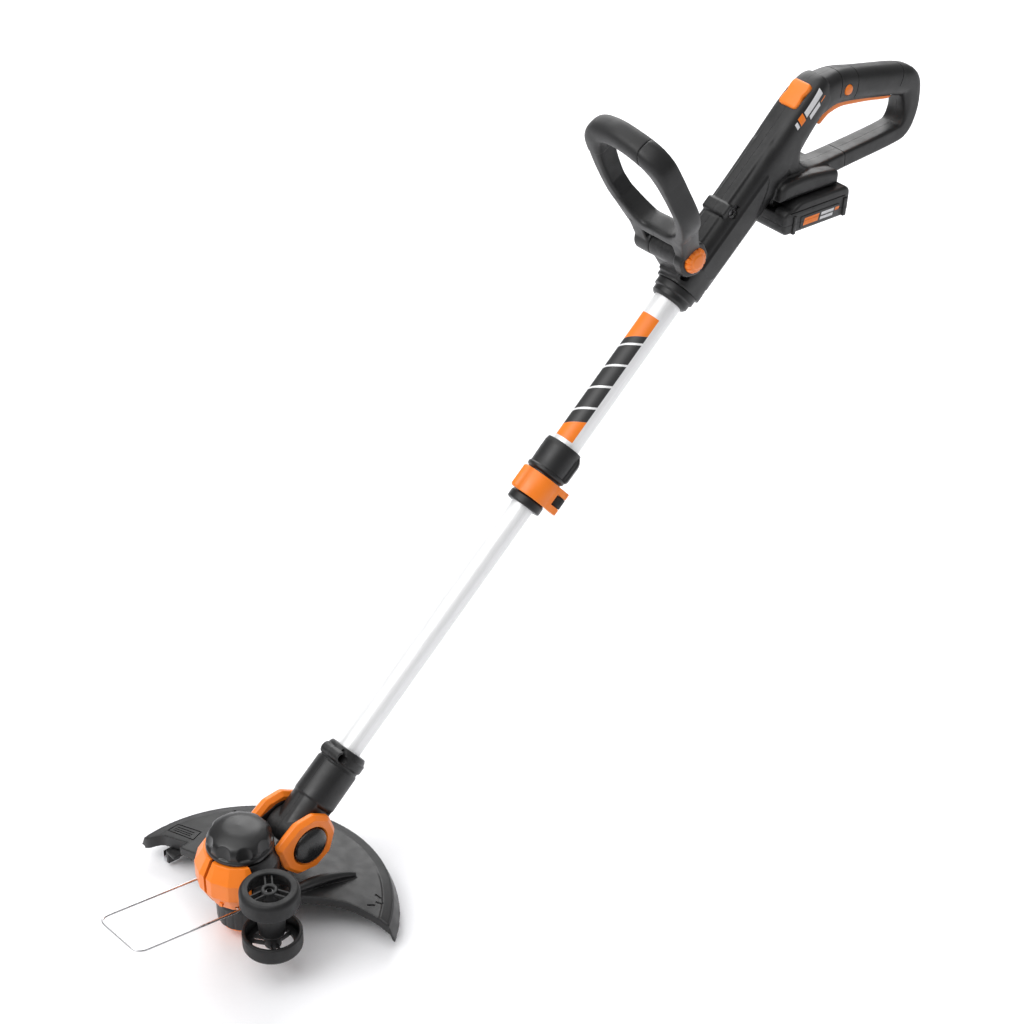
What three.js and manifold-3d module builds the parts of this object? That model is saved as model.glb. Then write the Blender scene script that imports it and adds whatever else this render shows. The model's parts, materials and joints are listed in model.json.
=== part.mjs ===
// A cordless lawn edger and line trimmer: rear handle with battery, loop handle, telescopic
// shaft, tilting motor head with spool, guard, edging wheels and wire guard.
//
// Millimetres. The pieces are laid out in a layout frame whose +Z is the motor axis, with
// -Y to the front (the wire guard's side), +Y towards the user and +X to the user's left.
// The whole group is then shifted so that its origin is the middle of the rear grip.

import * as THREE from "three";
import { mergeVertices } from "three/addons/utils/BufferGeometryUtils.js";
import Module from "manifold-3d";

const wasm = await Module();
wasm.setup();

// ---------------------------------------------------------------- driving dimensions

const DEG = Math.PI / 180;
const GAP = 0.3;                      // between pieces that touch
const HALF_GAP = GAP / 2;
const PRESS = 3;                      // travel of the push buttons

const SHAFT_LEAN = 51.6 * DEG;        // shaft from the motor axis
const SHAFT_FOOT_Y = 9.2;             // where the shaft's line meets the height of the origin
const GRIP = { y: 862, z: 597 };      // middle of the rear grip

// stations along the shaft, from its foot
const TILT_PIVOT_AT = 69;
const YOKE_TOP = 168;
const LOWER_TUBE_FROM = 92;
const LOWER_TUBE_TO = 606;
const CLAMP_FROM = 468;
const UPPER_TUBE_FROM = 483;
const UPPER_TUBE_TO = 852;
const HOUSING_FROM = 739;

const LOWER_TUBE_R = 12.5;
const UPPER_TUBE_R = 15.5;
const TUBE_WALL = 1.2;
const SHELL_WALL = 2.8;

// loop handle
const LOOP_PIVOT_AT = 762.7;          // along the shaft
const LOOP_PIVOT_UP = 46.6;           // above the shaft's line
const LOOP_LEAN = 22.3 * DEG;         // forward of the motor axis
const LOOP_BOSS_R = 15;
const LOOP_BUTTON_R = 13.5;

// battery, in its own frame: u backwards, v up, from the lower front edge
const BATTERY_SLOPE = 5.8 * DEG;
const BATTERY = { y: 700.5, z: 490, long: 97, half: 38, tall: 33, slotFloor: 22 };
const FOOT = { from: 1, to: 87, half: 30, bottom: 33.6, top: 56 };

// head
const CORE_R = 38;
const CORE_BOTTOM = 9;
const CORE_TOP = 60;
const COVER_R = 46;
const YOKE_EYE_R = 22;
const YOKE_EYE_HALF = 17.5;
const ARM_OUT = 22;                   // outer face of the head's arms
const PIVOT_COVER_R = 33;
const PIVOT_COVER_OUT = 31;
const PIVOT_HOLE_R = 20.6;
const SPOOL_R = 28;
const SPOOL_BOTTOM = -33;
const GUARD_R = 149;

// edging wheels
const WHEEL = { x: 74, y: -21.4, r: 30, tall: 20, topAt: 69, bottomAt: -7 };
const AXLE_R = 4;

// wire guard
const WIRE = { r: 1.3, half: 32, y: -28, z: 14.5, reach: 124, rise: 9.7 * DEG, corner: 12 };

// ---------------------------------------------------------------- materials

function plastic(colour, roughness) {
  return new THREE.MeshStandardMaterial({ color: colour, roughness, metalness: 0 });
}

function metal(colour, roughness) {
  return new THREE.MeshStandardMaterial({ color: colour, roughness, metalness: 1 });
}

const BLACK = plastic(0x2e2e30, 0.5);
const SOFT = plastic(0x262627, 0.75);
const TYRE = plastic(0x232325, 0.8);
const ORANGE = plastic(0xf47a20, 0.4);
const BOARD = plastic(0x1e5b35, 0.6);
const CELL = plastic(0x2f6f9f, 0.4);
const ALUMINIUM = metal(0xd9dadc, 0.3);
const STEEL = metal(0xb4b6b9, 0.35);
const COPPER = metal(0xb87333, 0.4);
const NYLON = plastic(0xd8d8cf, 0.5);

// ---------------------------------------------------------------- solids

function toSolid(geometry) {
  const bare = geometry.clone();
  bare.deleteAttribute("normal");
  bare.deleteAttribute("uv");
  const merged = mergeVertices(bare, 1e-4);
  const corners = merged.index.array;
  const kept = [];
  for (let i = 0; i < corners.length; i += 3) {
    const [a, b, c] = [corners[i], corners[i + 1], corners[i + 2]];
    if (a !== b && b !== c && c !== a) kept.push(a, b, c);
  }
  const vertProperties = new Float32Array(merged.attributes.position.array);
  const triVerts = new Uint32Array(kept);
  return new wasm.Manifold(new wasm.Mesh({ numProp: 3, vertProperties, triVerts }));
}

function fromSolid(solid) {
  const mesh = solid.getMesh();
  const geometry = new THREE.BufferGeometry();
  geometry.setAttribute("position", new THREE.BufferAttribute(mesh.vertProperties, 3));
  geometry.setIndex(new THREE.BufferAttribute(mesh.triVerts, 1));
  return geometry;
}

const join = (first, ...rest) =>
  fromSolid(rest.reduce((all, next) => all.add(toSolid(next)), toSolid(first)));
const cut = (first, ...rest) =>
  fromSolid(rest.reduce((left, next) => left.subtract(toSolid(next)), toSolid(first)));
const common = (first, second) => fromSolid(toSolid(first).intersect(toSolid(second)));

const move = (geometry, x, y, z) => geometry.clone().translate(x, y, z);
const turnX = (geometry, angle) => geometry.clone().rotateX(angle);
const turnY = (geometry, angle) => geometry.clone().rotateY(angle);
const turnZ = (geometry, angle) => geometry.clone().rotateZ(angle);

function flipped(geometry) {
  const corners = geometry.index.array;
  for (let i = 0; i < corners.length; i += 3) {
    [corners[i], corners[i + 1]] = [corners[i + 1], corners[i]];
  }
  return geometry;
}

// the same piece on the other side of the X = 0 plane
function mirrored(geometry) {
  return flipped(mergeVertices(geometry.clone().scale(-1, 1, 1), 1e-5));
}

// a box given by its lowest and highest corners
function block(x0, x1, y0, y1, z0, z1) {
  const box = new THREE.BoxGeometry(x1 - x0, y1 - y0, z1 - z0);
  return box.translate((x0 + x1) / 2, (y0 + y1) / 2, (z0 + z1) / 2);
}

// a cylinder or cone along Z from z0 to z1
function rod(radius, z0, z1, segments = 20, topRadius = radius) {
  const cylinder = new THREE.CylinderGeometry(topRadius, radius, z1 - z0, segments);
  return cylinder.rotateX(Math.PI / 2).translate(0, 0, (z0 + z1) / 2);
}

const rodX = (radius, x0, x1, segments = 20, topRadius = radius) =>
  rod(radius, x0, x1, segments, topRadius).rotateY(Math.PI / 2);

// a ring along Z
function ring(outer, inner, z0, z1, segments = 24) {
  return turned([[inner, z0], [outer, z0], [outer, z1], [inner, z1], [inner, z0]], segments);
}

// a profile of [radius, z] pairs turned round Z
function turned(profile, segments = 32) {
  const points = profile.map(([r, z]) => new THREE.Vector2(r, z));
  const lathe = new THREE.LatheGeometry(points, segments).rotateX(Math.PI / 2);
  return signedVolume(lathe) < 0 ? flipped(lathe) : lathe;
}

function signedVolume(geometry) {
  const p = geometry.attributes.position;
  const corner = [new THREE.Vector3(), new THREE.Vector3(), new THREE.Vector3()];
  let volume = 0;
  for (let i = 0; i < geometry.index.count; i += 3) {
    corner.forEach((v, k) => v.fromBufferAttribute(p, geometry.index.getX(i + k)));
    volume += corner[0].dot(corner[1].cross(corner[2])) / 6;
  }
  return volume;
}

// a closed outline through [u, v, radius] corners
function outline(corners) {
  const shape = new THREE.Shape();
  const count = corners.length;
  corners.forEach(([u, v, radius = 0], i) => {
    const here = new THREE.Vector2(u, v);
    const before = new THREE.Vector2(...corners[(i + count - 1) % count].slice(0, 2));
    const after = new THREE.Vector2(...corners[(i + 1) % count].slice(0, 2));
    const start = before.sub(here).setLength(radius).add(here);
    const end = after.sub(here).setLength(radius).add(here);
    if (i === 0) shape.moveTo(start.x, start.y);
    else shape.lineTo(start.x, start.y);
    if (radius > 0) shape.quadraticCurveTo(u, v, end.x, end.y);
  });
  shape.closePath();
  return shape;
}

// a shape of (y, z) extruded along X from x0 to x1, with an optional chamfer round both faces
function plateX(shape, x0, x1, chamfer = 0, steps = 4) {
  const bevel = chamfer > 0;
  const geometry = new THREE.ExtrudeGeometry(shape, {
    depth: x1 - x0 - 2 * chamfer,
    curveSegments: steps,
    bevelEnabled: bevel,
    bevelThickness: chamfer,
    bevelSize: chamfer,
    bevelOffset: -chamfer,
    bevelSegments: 2,
  });
  const [x, y, z] = [0, 1, 2].map((axis) => new THREE.Vector3().setComponent(axis, 1));
  geometry.applyMatrix4(new THREE.Matrix4().makeBasis(y, z, x));
  return geometry.translate(x0 + chamfer, 0, 0);
}

// a shape of (x, y) extruded along Z
function plateZ(shape, z0, z1, steps = 4) {
  const options = { depth: z1 - z0, curveSegments: steps, bevelEnabled: false };
  return new THREE.ExtrudeGeometry(shape, options).translate(0, 0, z0);
}

// a skin over a row of rings of equal length, closed on itself or capped at both ends
function loft(rings, closed = false) {
  const sides = rings[0].length;
  const positions = rings.flat().flatMap((p) => [p.x, p.y, p.z]);
  const index = [];
  const spans = closed ? rings.length : rings.length - 1;
  for (let i = 0; i < spans; i++) {
    const next = (i + 1) % rings.length;
    for (let k = 0; k < sides; k++) {
      const right = (k + 1) % sides;
      const [a, b] = [i * sides + k, i * sides + right];
      const [c, d] = [next * sides + k, next * sides + right];
      index.push(a, b, d, a, d, c);
    }
  }
  if (!closed) {
    [0, rings.length - 1].forEach((end) => {
      for (let k = 1; k < sides - 1; k++) {
        const fan = [end * sides, end * sides + k, end * sides + k + 1];
        index.push(...(end === 0 ? fan.reverse() : fan));
      }
    });
  }
  const geometry = new THREE.BufferGeometry();
  geometry.setAttribute("position", new THREE.Float32BufferAttribute(positions, 3));
  geometry.setIndex(index);
  return signedVolume(geometry) < 0 ? flipped(geometry) : geometry;
}

// a bar along a path in the (y, z) or (x, z) plane. Each station is [a, z, inPlane, across],
// half sizes of a rounded section; power 2 is an ellipse and more is squarer
function bar(stations, plane, { closed = false, shrink = 0, power = 2.8, sides = 12 } = {}) {
  const upright = plane === "yz";
  const point = (a, z) => (upright ? new THREE.Vector3(0, a, z) : new THREE.Vector3(a, 0, z));
  const side = upright ? new THREE.Vector3(1, 0, 0) : new THREE.Vector3(0, 1, 0);
  const count = stations.length;
  const centres = stations.map(([a, z]) => point(a, z));
  const rings = stations.map(([, , inPlane, across], i) => {
    const from = centres[closed ? (i + count - 1) % count : Math.max(i - 1, 0)];
    const to = centres[closed ? (i + 1) % count : Math.min(i + 1, count - 1)];
    const along = to.clone().sub(from).normalize();
    const normal = new THREE.Vector3().crossVectors(along, side);
    return Array.from({ length: sides }, (_, k) => {
      const angle = (2 * Math.PI * k) / sides;
      const [c, s] = [Math.cos(angle), Math.sin(angle)];
      const u = Math.sign(c) * Math.abs(c) ** (2 / power) * (inPlane - shrink);
      const v = Math.sign(s) * Math.abs(s) ** (2 / power) * (across - shrink);
      return centres[i].clone().addScaledVector(normal, u).addScaledVector(side, v);
    });
  });
  return loft(rings, closed);
}

class Helix extends THREE.Curve {
  constructor(radius, turns, z0, z1) {
    super();
    Object.assign(this, { radius, turns, z0, z1 });
  }

  getPoint(t, target = new THREE.Vector3()) {
    const angle = 2 * Math.PI * this.turns * t;
    const z = this.z0 + (this.z1 - this.z0) * t;
    return target.set(this.radius * Math.cos(angle), this.radius * Math.sin(angle), z);
  }
}

function circleShape(radius, sides) {
  const shape = new THREE.Shape();
  for (let k = 0; k < sides; k++) {
    const angle = (2 * Math.PI * k) / sides;
    const [x, y] = [radius * Math.cos(angle), radius * Math.sin(angle)];
    if (k === 0) shape.moveTo(x, y);
    else shape.lineTo(x, y);
  }
  shape.closePath();
  return shape;
}

function swept(curve, radius, steps, sides) {
  const options = { steps, extrudePath: curve, bevelEnabled: false };
  return new THREE.ExtrudeGeometry(circleShape(radius, sides), options);
}

// a coil spring along Z
const spring = (radius, wire, turns, z0, z1) =>
  swept(new Helix(radius, turns, z0 + wire, z1 - wire), wire, Math.round(turns * 8), 4);

// a cross-head screw along Z with its head up at z = 0
function screw(radius, length, headRadius = radius * 1.9) {
  const shank = rod(radius, -length, -1, 8);
  const head = turned([[0, -1.6], [headRadius, -1.6], [headRadius, -0.6], [0, 0.4]], 10);
  const slots = [0, 90].map((angle) => turnZ(block(-0.5, 0.5, -2, 2, -0.6, 1), angle * DEG));
  return cut(join(shank, head), ...slots);
}

// ---------------------------------------------------------------- groups

const edger = new THREE.Group();
edger.position.set(0, -GRIP.y, -GRIP.z);

// along the shaft: local z runs up the shaft and local y points under it
const shaft = new THREE.Group();
shaft.position.set(0, SHAFT_FOOT_Y, 0);
shaft.rotation.x = -SHAFT_LEAN;

// the loop handle's own plane: local z from its pivot to the grip
const loop = new THREE.Group();
const loopPivot = onShaft(LOOP_PIVOT_AT, LOOP_PIVOT_UP);
loop.position.copy(loopPivot);
loop.rotation.x = LOOP_LEAN;

// the battery's frame: local y backwards along its rails, local z up
const battery = new THREE.Group();
battery.position.set(0, BATTERY.y, BATTERY.z);
battery.rotation.x = -BATTERY_SLOPE;

const head = new THREE.Group();
edger.add(shaft, loop, battery, head);
[shaft, loop, battery].forEach((group) => group.updateMatrix());

// the layout-frame point at a station along the shaft and a height above its line
function onShaft(station, up) {
  const y = SHAFT_FOOT_Y + station * Math.sin(SHAFT_LEAN) - up * Math.cos(SHAFT_LEAN);
  const z = station * Math.cos(SHAFT_LEAN) + up * Math.sin(SHAFT_LEAN);
  return new THREE.Vector3(0, y, z);
}

const inLayout = (group, geometry) => geometry.clone().applyMatrix4(group.matrix);

function add(group, name, geometry, material) {
  const mesh = new THREE.Mesh(geometry, material);
  geometry.computeVertexNormals();
  mesh.name = name;
  group.add(mesh);
}

const tiltPivot = onShaft(TILT_PIVOT_AT, 0);

// ---------------------------------------------------------------- rear handle housing

// stations [y, z, inPlane, across] of the grip loop, round its hand opening
const HANDLE_LOOP = [
  [753, 600, 16, 20.5],
  [774, 611, 19.5, 19],
  [800, 614, 19, 17.5],
  [832, 606, 18, 16.5],
  [897, 588, 17.5, 16],
  [916, 579.5, 16, 15.5],
  [920, 562, 12.5, 15],
  [918, 545, 10.5, 14.5],
  [908, 530, 10, 14],
  [890, 526, 9.5, 13.5],
  [820, 526, 9.5, 13.5],
  [775, 527, 10, 15],
  [750, 532, 12, 18],
  [733, 551, 12, 20.5],
  [736, 576, 12, 21],
];

// stations [along the shaft, up, half height, half width] of the housing's barrel
const BARREL = [
  [HOUSING_FROM, 0, 24.5, 21],
  [800, 0, 25, 21],
  [860, 0, 25.5, 21],
  [905, 1, 26, 21],
  [925, 5, 22, 21],
  [960, 8, 20, 20.5],
  [986, 6, 19.5, 19],
  [994, 4, 15, 15],
];

function barrel(shrink) {
  const ends = shrink > 0 ? 2.5 : 0;
  const stations = BARREL.map(([station, up, tall, wide], i) => {
    const last = i === BARREL.length - 1;
    const at = station + (i === 0 ? 5 * Math.sign(ends) : 0) - (last ? ends : 0);
    const centre = onShaft(at, up);
    return [centre.y, centre.z, tall, wide];
  });
  return bar(stations, "yz", { shrink, power: 3.2, sides: sidesOf(shrink) });
}

const handleLoop = (shrink) =>
  bar(HANDLE_LOOP, "yz", { closed: true, shrink, sides: sidesOf(shrink) });

// the hollow inside a shell is coarser than its outside
function sidesOf(shrink) {
  return shrink > 0 ? 8 : 12;
}

// the foot that carries the battery rails, with its own rounded top
function foot(shrink) {
  const { from, to, half, bottom, top } = FOOT;
  const shape = outline([
    [from + shrink, bottom + shrink, 0],
    [to - shrink, bottom + shrink, 0],
    [to - shrink, top - 6 - shrink, 6],
    [from + 36, top - shrink, 14],
    [from + shrink, top - 3 - shrink, 10],
  ]);
  return inLayout(battery, plateX(shape, -half + shrink, half - shrink, shrink > 0 ? 0 : 4));
}

function loopBoss() {
  const tube = rodX(LOOP_BOSS_R, -17.5, 20.5, 18);
  const saddle = outline([[-17, -26], [17, -26], [12, 8, 4], [-12, 8, 4]]);
  const pedestal = inLayout(shaftUpright, plateX(saddle, -17.5, 20.5));
  return join(move(tube, 0, loopPivot.y, loopPivot.z), pedestal);
}

// like the shaft's frame, but at the loop pivot with local y up the shaft and local z above it
const shaftUpright = new THREE.Group();
shaftUpright.position.copy(loopPivot);
shaftUpright.rotation.x = Math.PI / 2 - SHAFT_LEAN;
shaftUpright.updateMatrix();

const SCREW_STATIONS = [
  { along: 752, up: -18.6 },
  { along: 829, up: 19 },
];

const TRIGGER_PIVOT = { y: 884, z: 580 };
const LOCK_OFF = { y: 811, z: 611, r: 6 };

// the trigger's side view, front end first
const TRIGGER_SIDE = [
  [777, 582, 1.5],
  [781, 577.5, 1.5],
  [793, 585.5, 3],
  [812, 588, 4],
  [850, 580, 4],
  [884, 571, 1.5],
  [890, 571.5, 1.5],
  [889, 584, 3],
  [879, 587, 3],
  [850, 590, 3],
  [812, 598, 3],
  [790, 598, 3],
];
const TRIGGER_HALF = 7.5;

// the slot that the trigger hangs in, with room above it for its swing
const TRIGGER_ROOM = [
  [775.6, 565], [775.6, 590], [781, 600], [790, 606], [812, 605], [850, 594.2], [880, 589.4],
  [891.4, 586.6], [891.4, 565],
];

const RAIL = { from: 36, to: 84, neck: 16.5, flange: 21.5 };

function buildHousing() {
  const outer = join(barrel(0), handleLoop(0), foot(0), loopBoss());
  const hollow = join(barrel(SHELL_WALL), handleLoop(SHELL_WALL), foot(SHELL_WALL));
  const tubeRod = rod(UPPER_TUBE_R + GAP, HOUSING_FROM - 5, UPPER_TUBE_TO + 1, 20);
  const tubeSpace = inLayout(shaft, tubeRod);
  const ribs = [745, 792, UPPER_TUBE_TO + 4].map((at) =>
    common(inLayout(shaft, rod(27, at, at + 5, 12)), barrel(SHELL_WALL - 0.5))
  );
  const posts = SCREW_STATIONS.map(({ along, up }) =>
    inLayout(shaft, move(rodX(4.5, -20, 20, 8), 0, -up, along))
  );
  const boltHole = move(rodX(4.4, -30, 30, 12), 0, loopPivot.y, loopPivot.z);
  const screwHoles = SCREW_STATIONS.map(({ along, up }) =>
    inLayout(shaft, move(join(rodX(2, -14, 30, 8), rodX(4.2, 12, 30, 12)), 0, -up, along))
  );
  const lockHole = move(rodX(LOCK_OFF.r + GAP, 3.5, 30, 14), 0, LOCK_OFF.y, LOCK_OFF.z);
  const feedOpening = inLayout(shaft, feedButtonBody(GAP));
  const slotHalf = TRIGGER_HALF + 2 * GAP;
  const triggerSlot = plateX(outline(TRIGGER_ROOM), -slotHalf, slotHalf);
  const pinHole = move(rodX(2.6, -12.3, 12.3, 8), 0, TRIGGER_PIVOT.y, TRIGGER_PIVOT.z);
  const terminalMouth = inLayout(battery, block(-15, 15, 5, 33, 30, 38));
  const rail = inLayout(battery, railBody());
  const walls = join(cut(outer, hollow), ...ribs.map((rib) => common(rib, outer)), ...posts, rail);
  const body = cut(
    common(walls, join(outer, rail)),
    tubeSpace, boltHole, ...screwHoles, lockHole, feedOpening, triggerSlot, pinHole,
    terminalMouth,
  );
  const left = common(body, block(HALF_GAP, 60, 500, 1000, 350, 700));
  const right = common(body, block(-60, -HALF_GAP, 500, 1000, 350, 700));
  add(edger, "housing_left_shell", largest(left), BLACK);
  add(edger, "housing_right_shell", largest(right), BLACK);
  SCREW_STATIONS.forEach(({ along, up }, i) => {
    const fastener = move(turnY(screw(1.7, 22, 3.6), Math.PI / 2), 15.5, -up, along);
    add(shaft, `housing_screw_${i + 1}`, fastener, STEEL);
  });
}

// the biggest body of a cut solid; slivers left by a cut are dropped
function largest(geometry) {
  const bodies = toSolid(geometry).decompose();
  bodies.sort((a, b) => b.volume() - a.volume());
  return fromSolid(bodies[0]);
}

function railBody() {
  const { from, to, neck, flange } = RAIL;
  const flangeTop = BATTERY.slotFloor + 4;
  const lower = block(-flange, flange, from, to, BATTERY.slotFloor + 0.5, flangeTop);
  const upper = block(-neck, neck, from, to, flangeTop - 1, FOOT.bottom + 1);
  return join(lower, upper);
}

// the ring that closes the housing round the tube
function buildTubeCollar() {
  const profile = [
    [UPPER_TUBE_R + GAP, 722], [18, 722], [20.5, 725], [20.5, 730], [22.5, 731.5],
    [22.5, HOUSING_FROM - GAP], [UPPER_TUBE_R + GAP, HOUSING_FROM - GAP], [UPPER_TUBE_R + GAP, 722],
  ];
  add(shaft, "tube_collar", turned(profile, 20), BLACK);
}

// ---------------------------------------------------------------- controls

const FEED = { from: 950, to: 983, half: 13, up: 21, top: 31 };

// the feed button over the crest of the housing; grow widens it into its own opening, which
// leaves room for the button's travel
function feedButtonBody(grow) {
  const shape = outline([
    [-FEED.half - grow, FEED.from - grow, 6],
    [FEED.half + grow, FEED.from - grow, 6],
    [FEED.half + grow, FEED.to + grow, 6],
    [-FEED.half - grow, FEED.to + grow, 6],
  ]);
  const geometry = new THREE.ExtrudeGeometry(shape, {
    depth: FEED.top - FEED.up + (grow > 0 ? 12 : 0),
    curveSegments: 2,
    bevelEnabled: grow === 0,
    bevelThickness: 1.6,
    bevelSize: 1.6,
    bevelOffset: -1.6,
    bevelSegments: 2,
  });
  // the shape's plane is (x, along the shaft) and it rises above the shaft's line
  geometry.applyMatrix4(new THREE.Matrix4().makeRotationX(Math.PI / 2));
  return geometry.translate(0, (grow > 0 ? PRESS + GAP : 0) - FEED.up, 0);
}

function buildControls() {
  add(shaft, "feed_button", feedButtonBody(0), ORANGE);

  const body = plateX(outline(TRIGGER_SIDE), -TRIGGER_HALF, TRIGGER_HALF, 1.2, 1);
  const eye = move(rodX(2.6, -9, 9, 10), 0, TRIGGER_PIVOT.y, TRIGGER_PIVOT.z);
  const springRoom = move(rodX(5.6, -3.4, 3.4, 12), 0, TRIGGER_PIVOT.y, TRIGGER_PIVOT.z);
  add(edger, "trigger", cut(body, eye, springRoom), ORANGE);
  const pin = move(rodX(2.3, -12, 12, 14), 0, TRIGGER_PIVOT.y, TRIGGER_PIVOT.z);
  add(edger, "trigger_pin", pin, STEEL);
  const coil = turnY(spring(3.7, 0.55, 4, -3, 3), Math.PI / 2);
  add(edger, "trigger_spring", move(coil, 0, TRIGGER_PIVOT.y, TRIGGER_PIVOT.z), STEEL);

  const stem = rodX(3.2, -6, 8, 10);
  const dome = [[0, 7], [LOCK_OFF.r, 7], [LOCK_OFF.r, 17], [5, 18.6], [0, 19]];
  const cap = turnY(turned(dome, 14), Math.PI / 2);
  add(edger, "lock_off_button", move(join(stem, cap), 0, LOCK_OFF.y, LOCK_OFF.z), ORANGE);

  const switchBody = turnX(block(-8, 8, -14, 14, -6, 6), -15.5 * DEG);
  const plunger = rod(2, -7.4, -5, 10).translate(0, -2, 0);
  add(edger, "main_switch", move(join(switchBody, plunger), 0, 852, 601), BLACK);

  const board = block(-14, 14, 4, 5.6, 868, 930);
  const parts = [
    rod(4, 0, 12, 14).rotateX(Math.PI / 2).translate(-7, 5, 885),
    block(-2, 10, -4, 5, 895, 912),
    block(-11, -3, 0, 5, 905, 918),
  ];
  add(shaft, "control_board", join(board, ...parts), BOARD);
}

// ---------------------------------------------------------------- battery and its contacts

function buildBattery() {
  const { long, half, tall, slotFloor } = BATTERY;
  const body = outline([
    [0, 4], [4, 0], [long - 5, 0], [long, 5], [long, tall - 5],
    [long - 5, tall], [24, tall], [12, 26.5], [4, 26.5], [0, 22.5],
  ]);
  const whole = plateX(body, -half, half, 1.8);
  const slot = block(-22.3, 22.3, -5, RAIL.to + 3, slotFloor, slotFloor + 5);
  const mouth = block(-17.3, 17.3, -5, RAIL.to + 3, slotFloor + 4, tall + 5);
  const cellRoom = block(-half + 3, half - 3, 2.4, long - 2.4, 1.8, slotFloor - 1.8);
  const latchRoom = block(-15.5, 15.5, 89.5, long + 5, 20.6, tall + 5);
  const split = 11;
  const shell = cut(whole, slot, mouth, cellRoom, latchRoom);
  const lower = common(shell, block(-50, 50, -5, 110, -1, split - HALF_GAP));
  const upper = common(shell, block(-50, 50, -5, 110, split + HALF_GAP, 50));
  add(battery, "battery_lower_case", largest(lower), BLACK);
  add(battery, "battery_upper_case", largest(upper), BLACK);

  const cells = Array.from({ length: 5 }, (_, i) =>
    move(rodX(8.8, -32.5, 32.5, 12), 0, 12 + 18.2 * i, 11)
  );
  const spine = block(-28, 28, 8, 89, 9.5, 12.5);
  add(battery, "battery_cells", join(spine, ...cells), CELL);

  const button = outline([
    [90, 23.4, 1], [97, 23.4, 1], [98.8, 25, 1], [98.8, 28.5, 1], [96, 32.5, 1], [90, 32.5, 1],
  ]);
  add(battery, "battery_release_button", plateX(button, -15, 15, 0.8, 1), ORANGE);

  const blockBody = block(-14, 14, 6, 17, slotFloor + 0.6, FOOT.bottom + 3);
  const blades = [-9, -3, 3, 9].map((x) =>
    block(x - 0.5, x + 0.5, 16, 30, slotFloor + 1.5, slotFloor + 7)
  );
  add(battery, "terminal_block", join(blockBody, ...blades), COPPER);
}

// ---------------------------------------------------------------- loop handle

// stations [x, z, inPlane, across] round the loop, from the middle of the lower bar
const LOOP_RIM = [
  [0, 31, 7, 12],
  [20, 31, 7, 12],
  [33, 38, 7, 12.5],
  [43, 52, 6.5, 13],
  [47, 70, 6, 13],
  [44, 96, 6, 13],
  [40, 116, 7.5, 13],
  [34, 133, 9.5, 12.5],
  [20, 145, 10, 11.5],
  [0, 152, 10, 11],
  [-20, 155, 10, 11],
  [-40, 151, 10, 11.5],
  [-52, 138, 9.5, 12.5],
  [-55, 116, 7.5, 13],
  [-56, 92, 6.5, 12],
  [-53, 66, 6.5, 11],
  [-42, 50, 7, 11.5],
  [-30, 38, 7, 12],
  [-18, 31, 7, 12],
];
const GRIP_STATIONS = LOOP_RIM.slice(7, 13);

function buildLoopHandle() {
  const rimStyle = { closed: true, power: 2.6, sides: 10 };
  const rim = bar(LOOP_RIM, "xz", rimStyle);

  const hexagon = outline(
    Array.from({ length: 6 }, (_, k) => {
      const angle = (30 + 60 * k) * DEG;
      return [20.5 * Math.cos(angle), 20.5 * Math.sin(angle), 4];
    })
  );
  const nearEar = join(
    plateX(hexagon, 20.8, 33, 1.5, 1),
    plateX(outline([[-12, 0], [12, 0], [12, 34], [-12, 34]]), 21.2, 32.6)
  );
  const farEar = join(
    rodX(LOOP_BOSS_R, -39, -17.8, 18),
    plateX(outline([[-11, 0], [11, 0], [12, 34], [-12, 34]]), -38, -21)
  );
  const pocket = rodX(LOOP_BUTTON_R + GAP, 23.8, 40, 20);
  const bore = rodX(3.6, -40, 30, 12);
  const boltHead = rodX(7.5, -45, -36.5, 6);
  const frame = cut(join(rim, nearEar, farEar), pocket, bore, boltHead);
  const sleeveAt = GRIP_STATIONS.map(([x, z, a, b]) => [x, z, a + 2.4, b + 2.4]);
  const sleeve = bar(sleeveAt, "xz", { power: 2.3, sides: 10 });
  const clearance = bar(LOOP_RIM, "xz", { ...rimStyle, shrink: -GAP });
  add(loop, "loop_handle_frame", frame, BLACK);
  add(loop, "loop_handle_grip", cut(sleeve, clearance), SOFT);

  const shank = rodX(3.3, -37, 23.4, 16);
  const hexHead = rodX(7.1, -41, -36.8, 6);
  add(loop, "loop_handle_bolt", join(shank, hexHead), STEEL);

  const dome = [[0, 28], [5, 28], [5, 30.5], [9.5, 30.5], [9.5, 28], [LOOP_BUTTON_R, 28],
    [LOOP_BUTTON_R, 34], [11, 37.5], [6, 39.3], [0, 39.8]];
  const button = turnY(turned(dome, 16), Math.PI / 2);
  add(loop, "loop_handle_lock_button", button, ORANGE);
  const coil = turnY(spring(7.2, 0.5, 1.9, 24.1, 27.2), Math.PI / 2);
  add(loop, "loop_handle_button_spring", coil, STEEL);
}

// ---------------------------------------------------------------- shaft tubes and clamp

function buildTubes() {
  add(shaft, "upper_tube",
    ring(UPPER_TUBE_R, UPPER_TUBE_R - TUBE_WALL, UPPER_TUBE_FROM, UPPER_TUBE_TO, 20), ALUMINIUM);
  add(shaft, "lower_tube",
    ring(LOWER_TUBE_R, LOWER_TUBE_R - TUBE_WALL, LOWER_TUBE_FROM, LOWER_TUBE_TO, 20), ALUMINIUM);
  const bush = ring(UPPER_TUBE_R - TUBE_WALL - GAP, LOWER_TUBE_R + GAP, 572, 604, 20);
  add(shaft, "telescope_bush", bush, NYLON);
}

const LEVER_PIN = { x: 22, up: -16, r: 2.2 };
const LEVER = { from: 478, to: 504, inner: 19.8, outer: 23, forkFrom: 485, forkTo: 497 };

// a shape of (x, up) pulled along the shaft
function acrossShaft(shape, from, to, steps = 6) {
  return mirroredY(plateZ(shape, from, to, steps));
}

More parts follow.
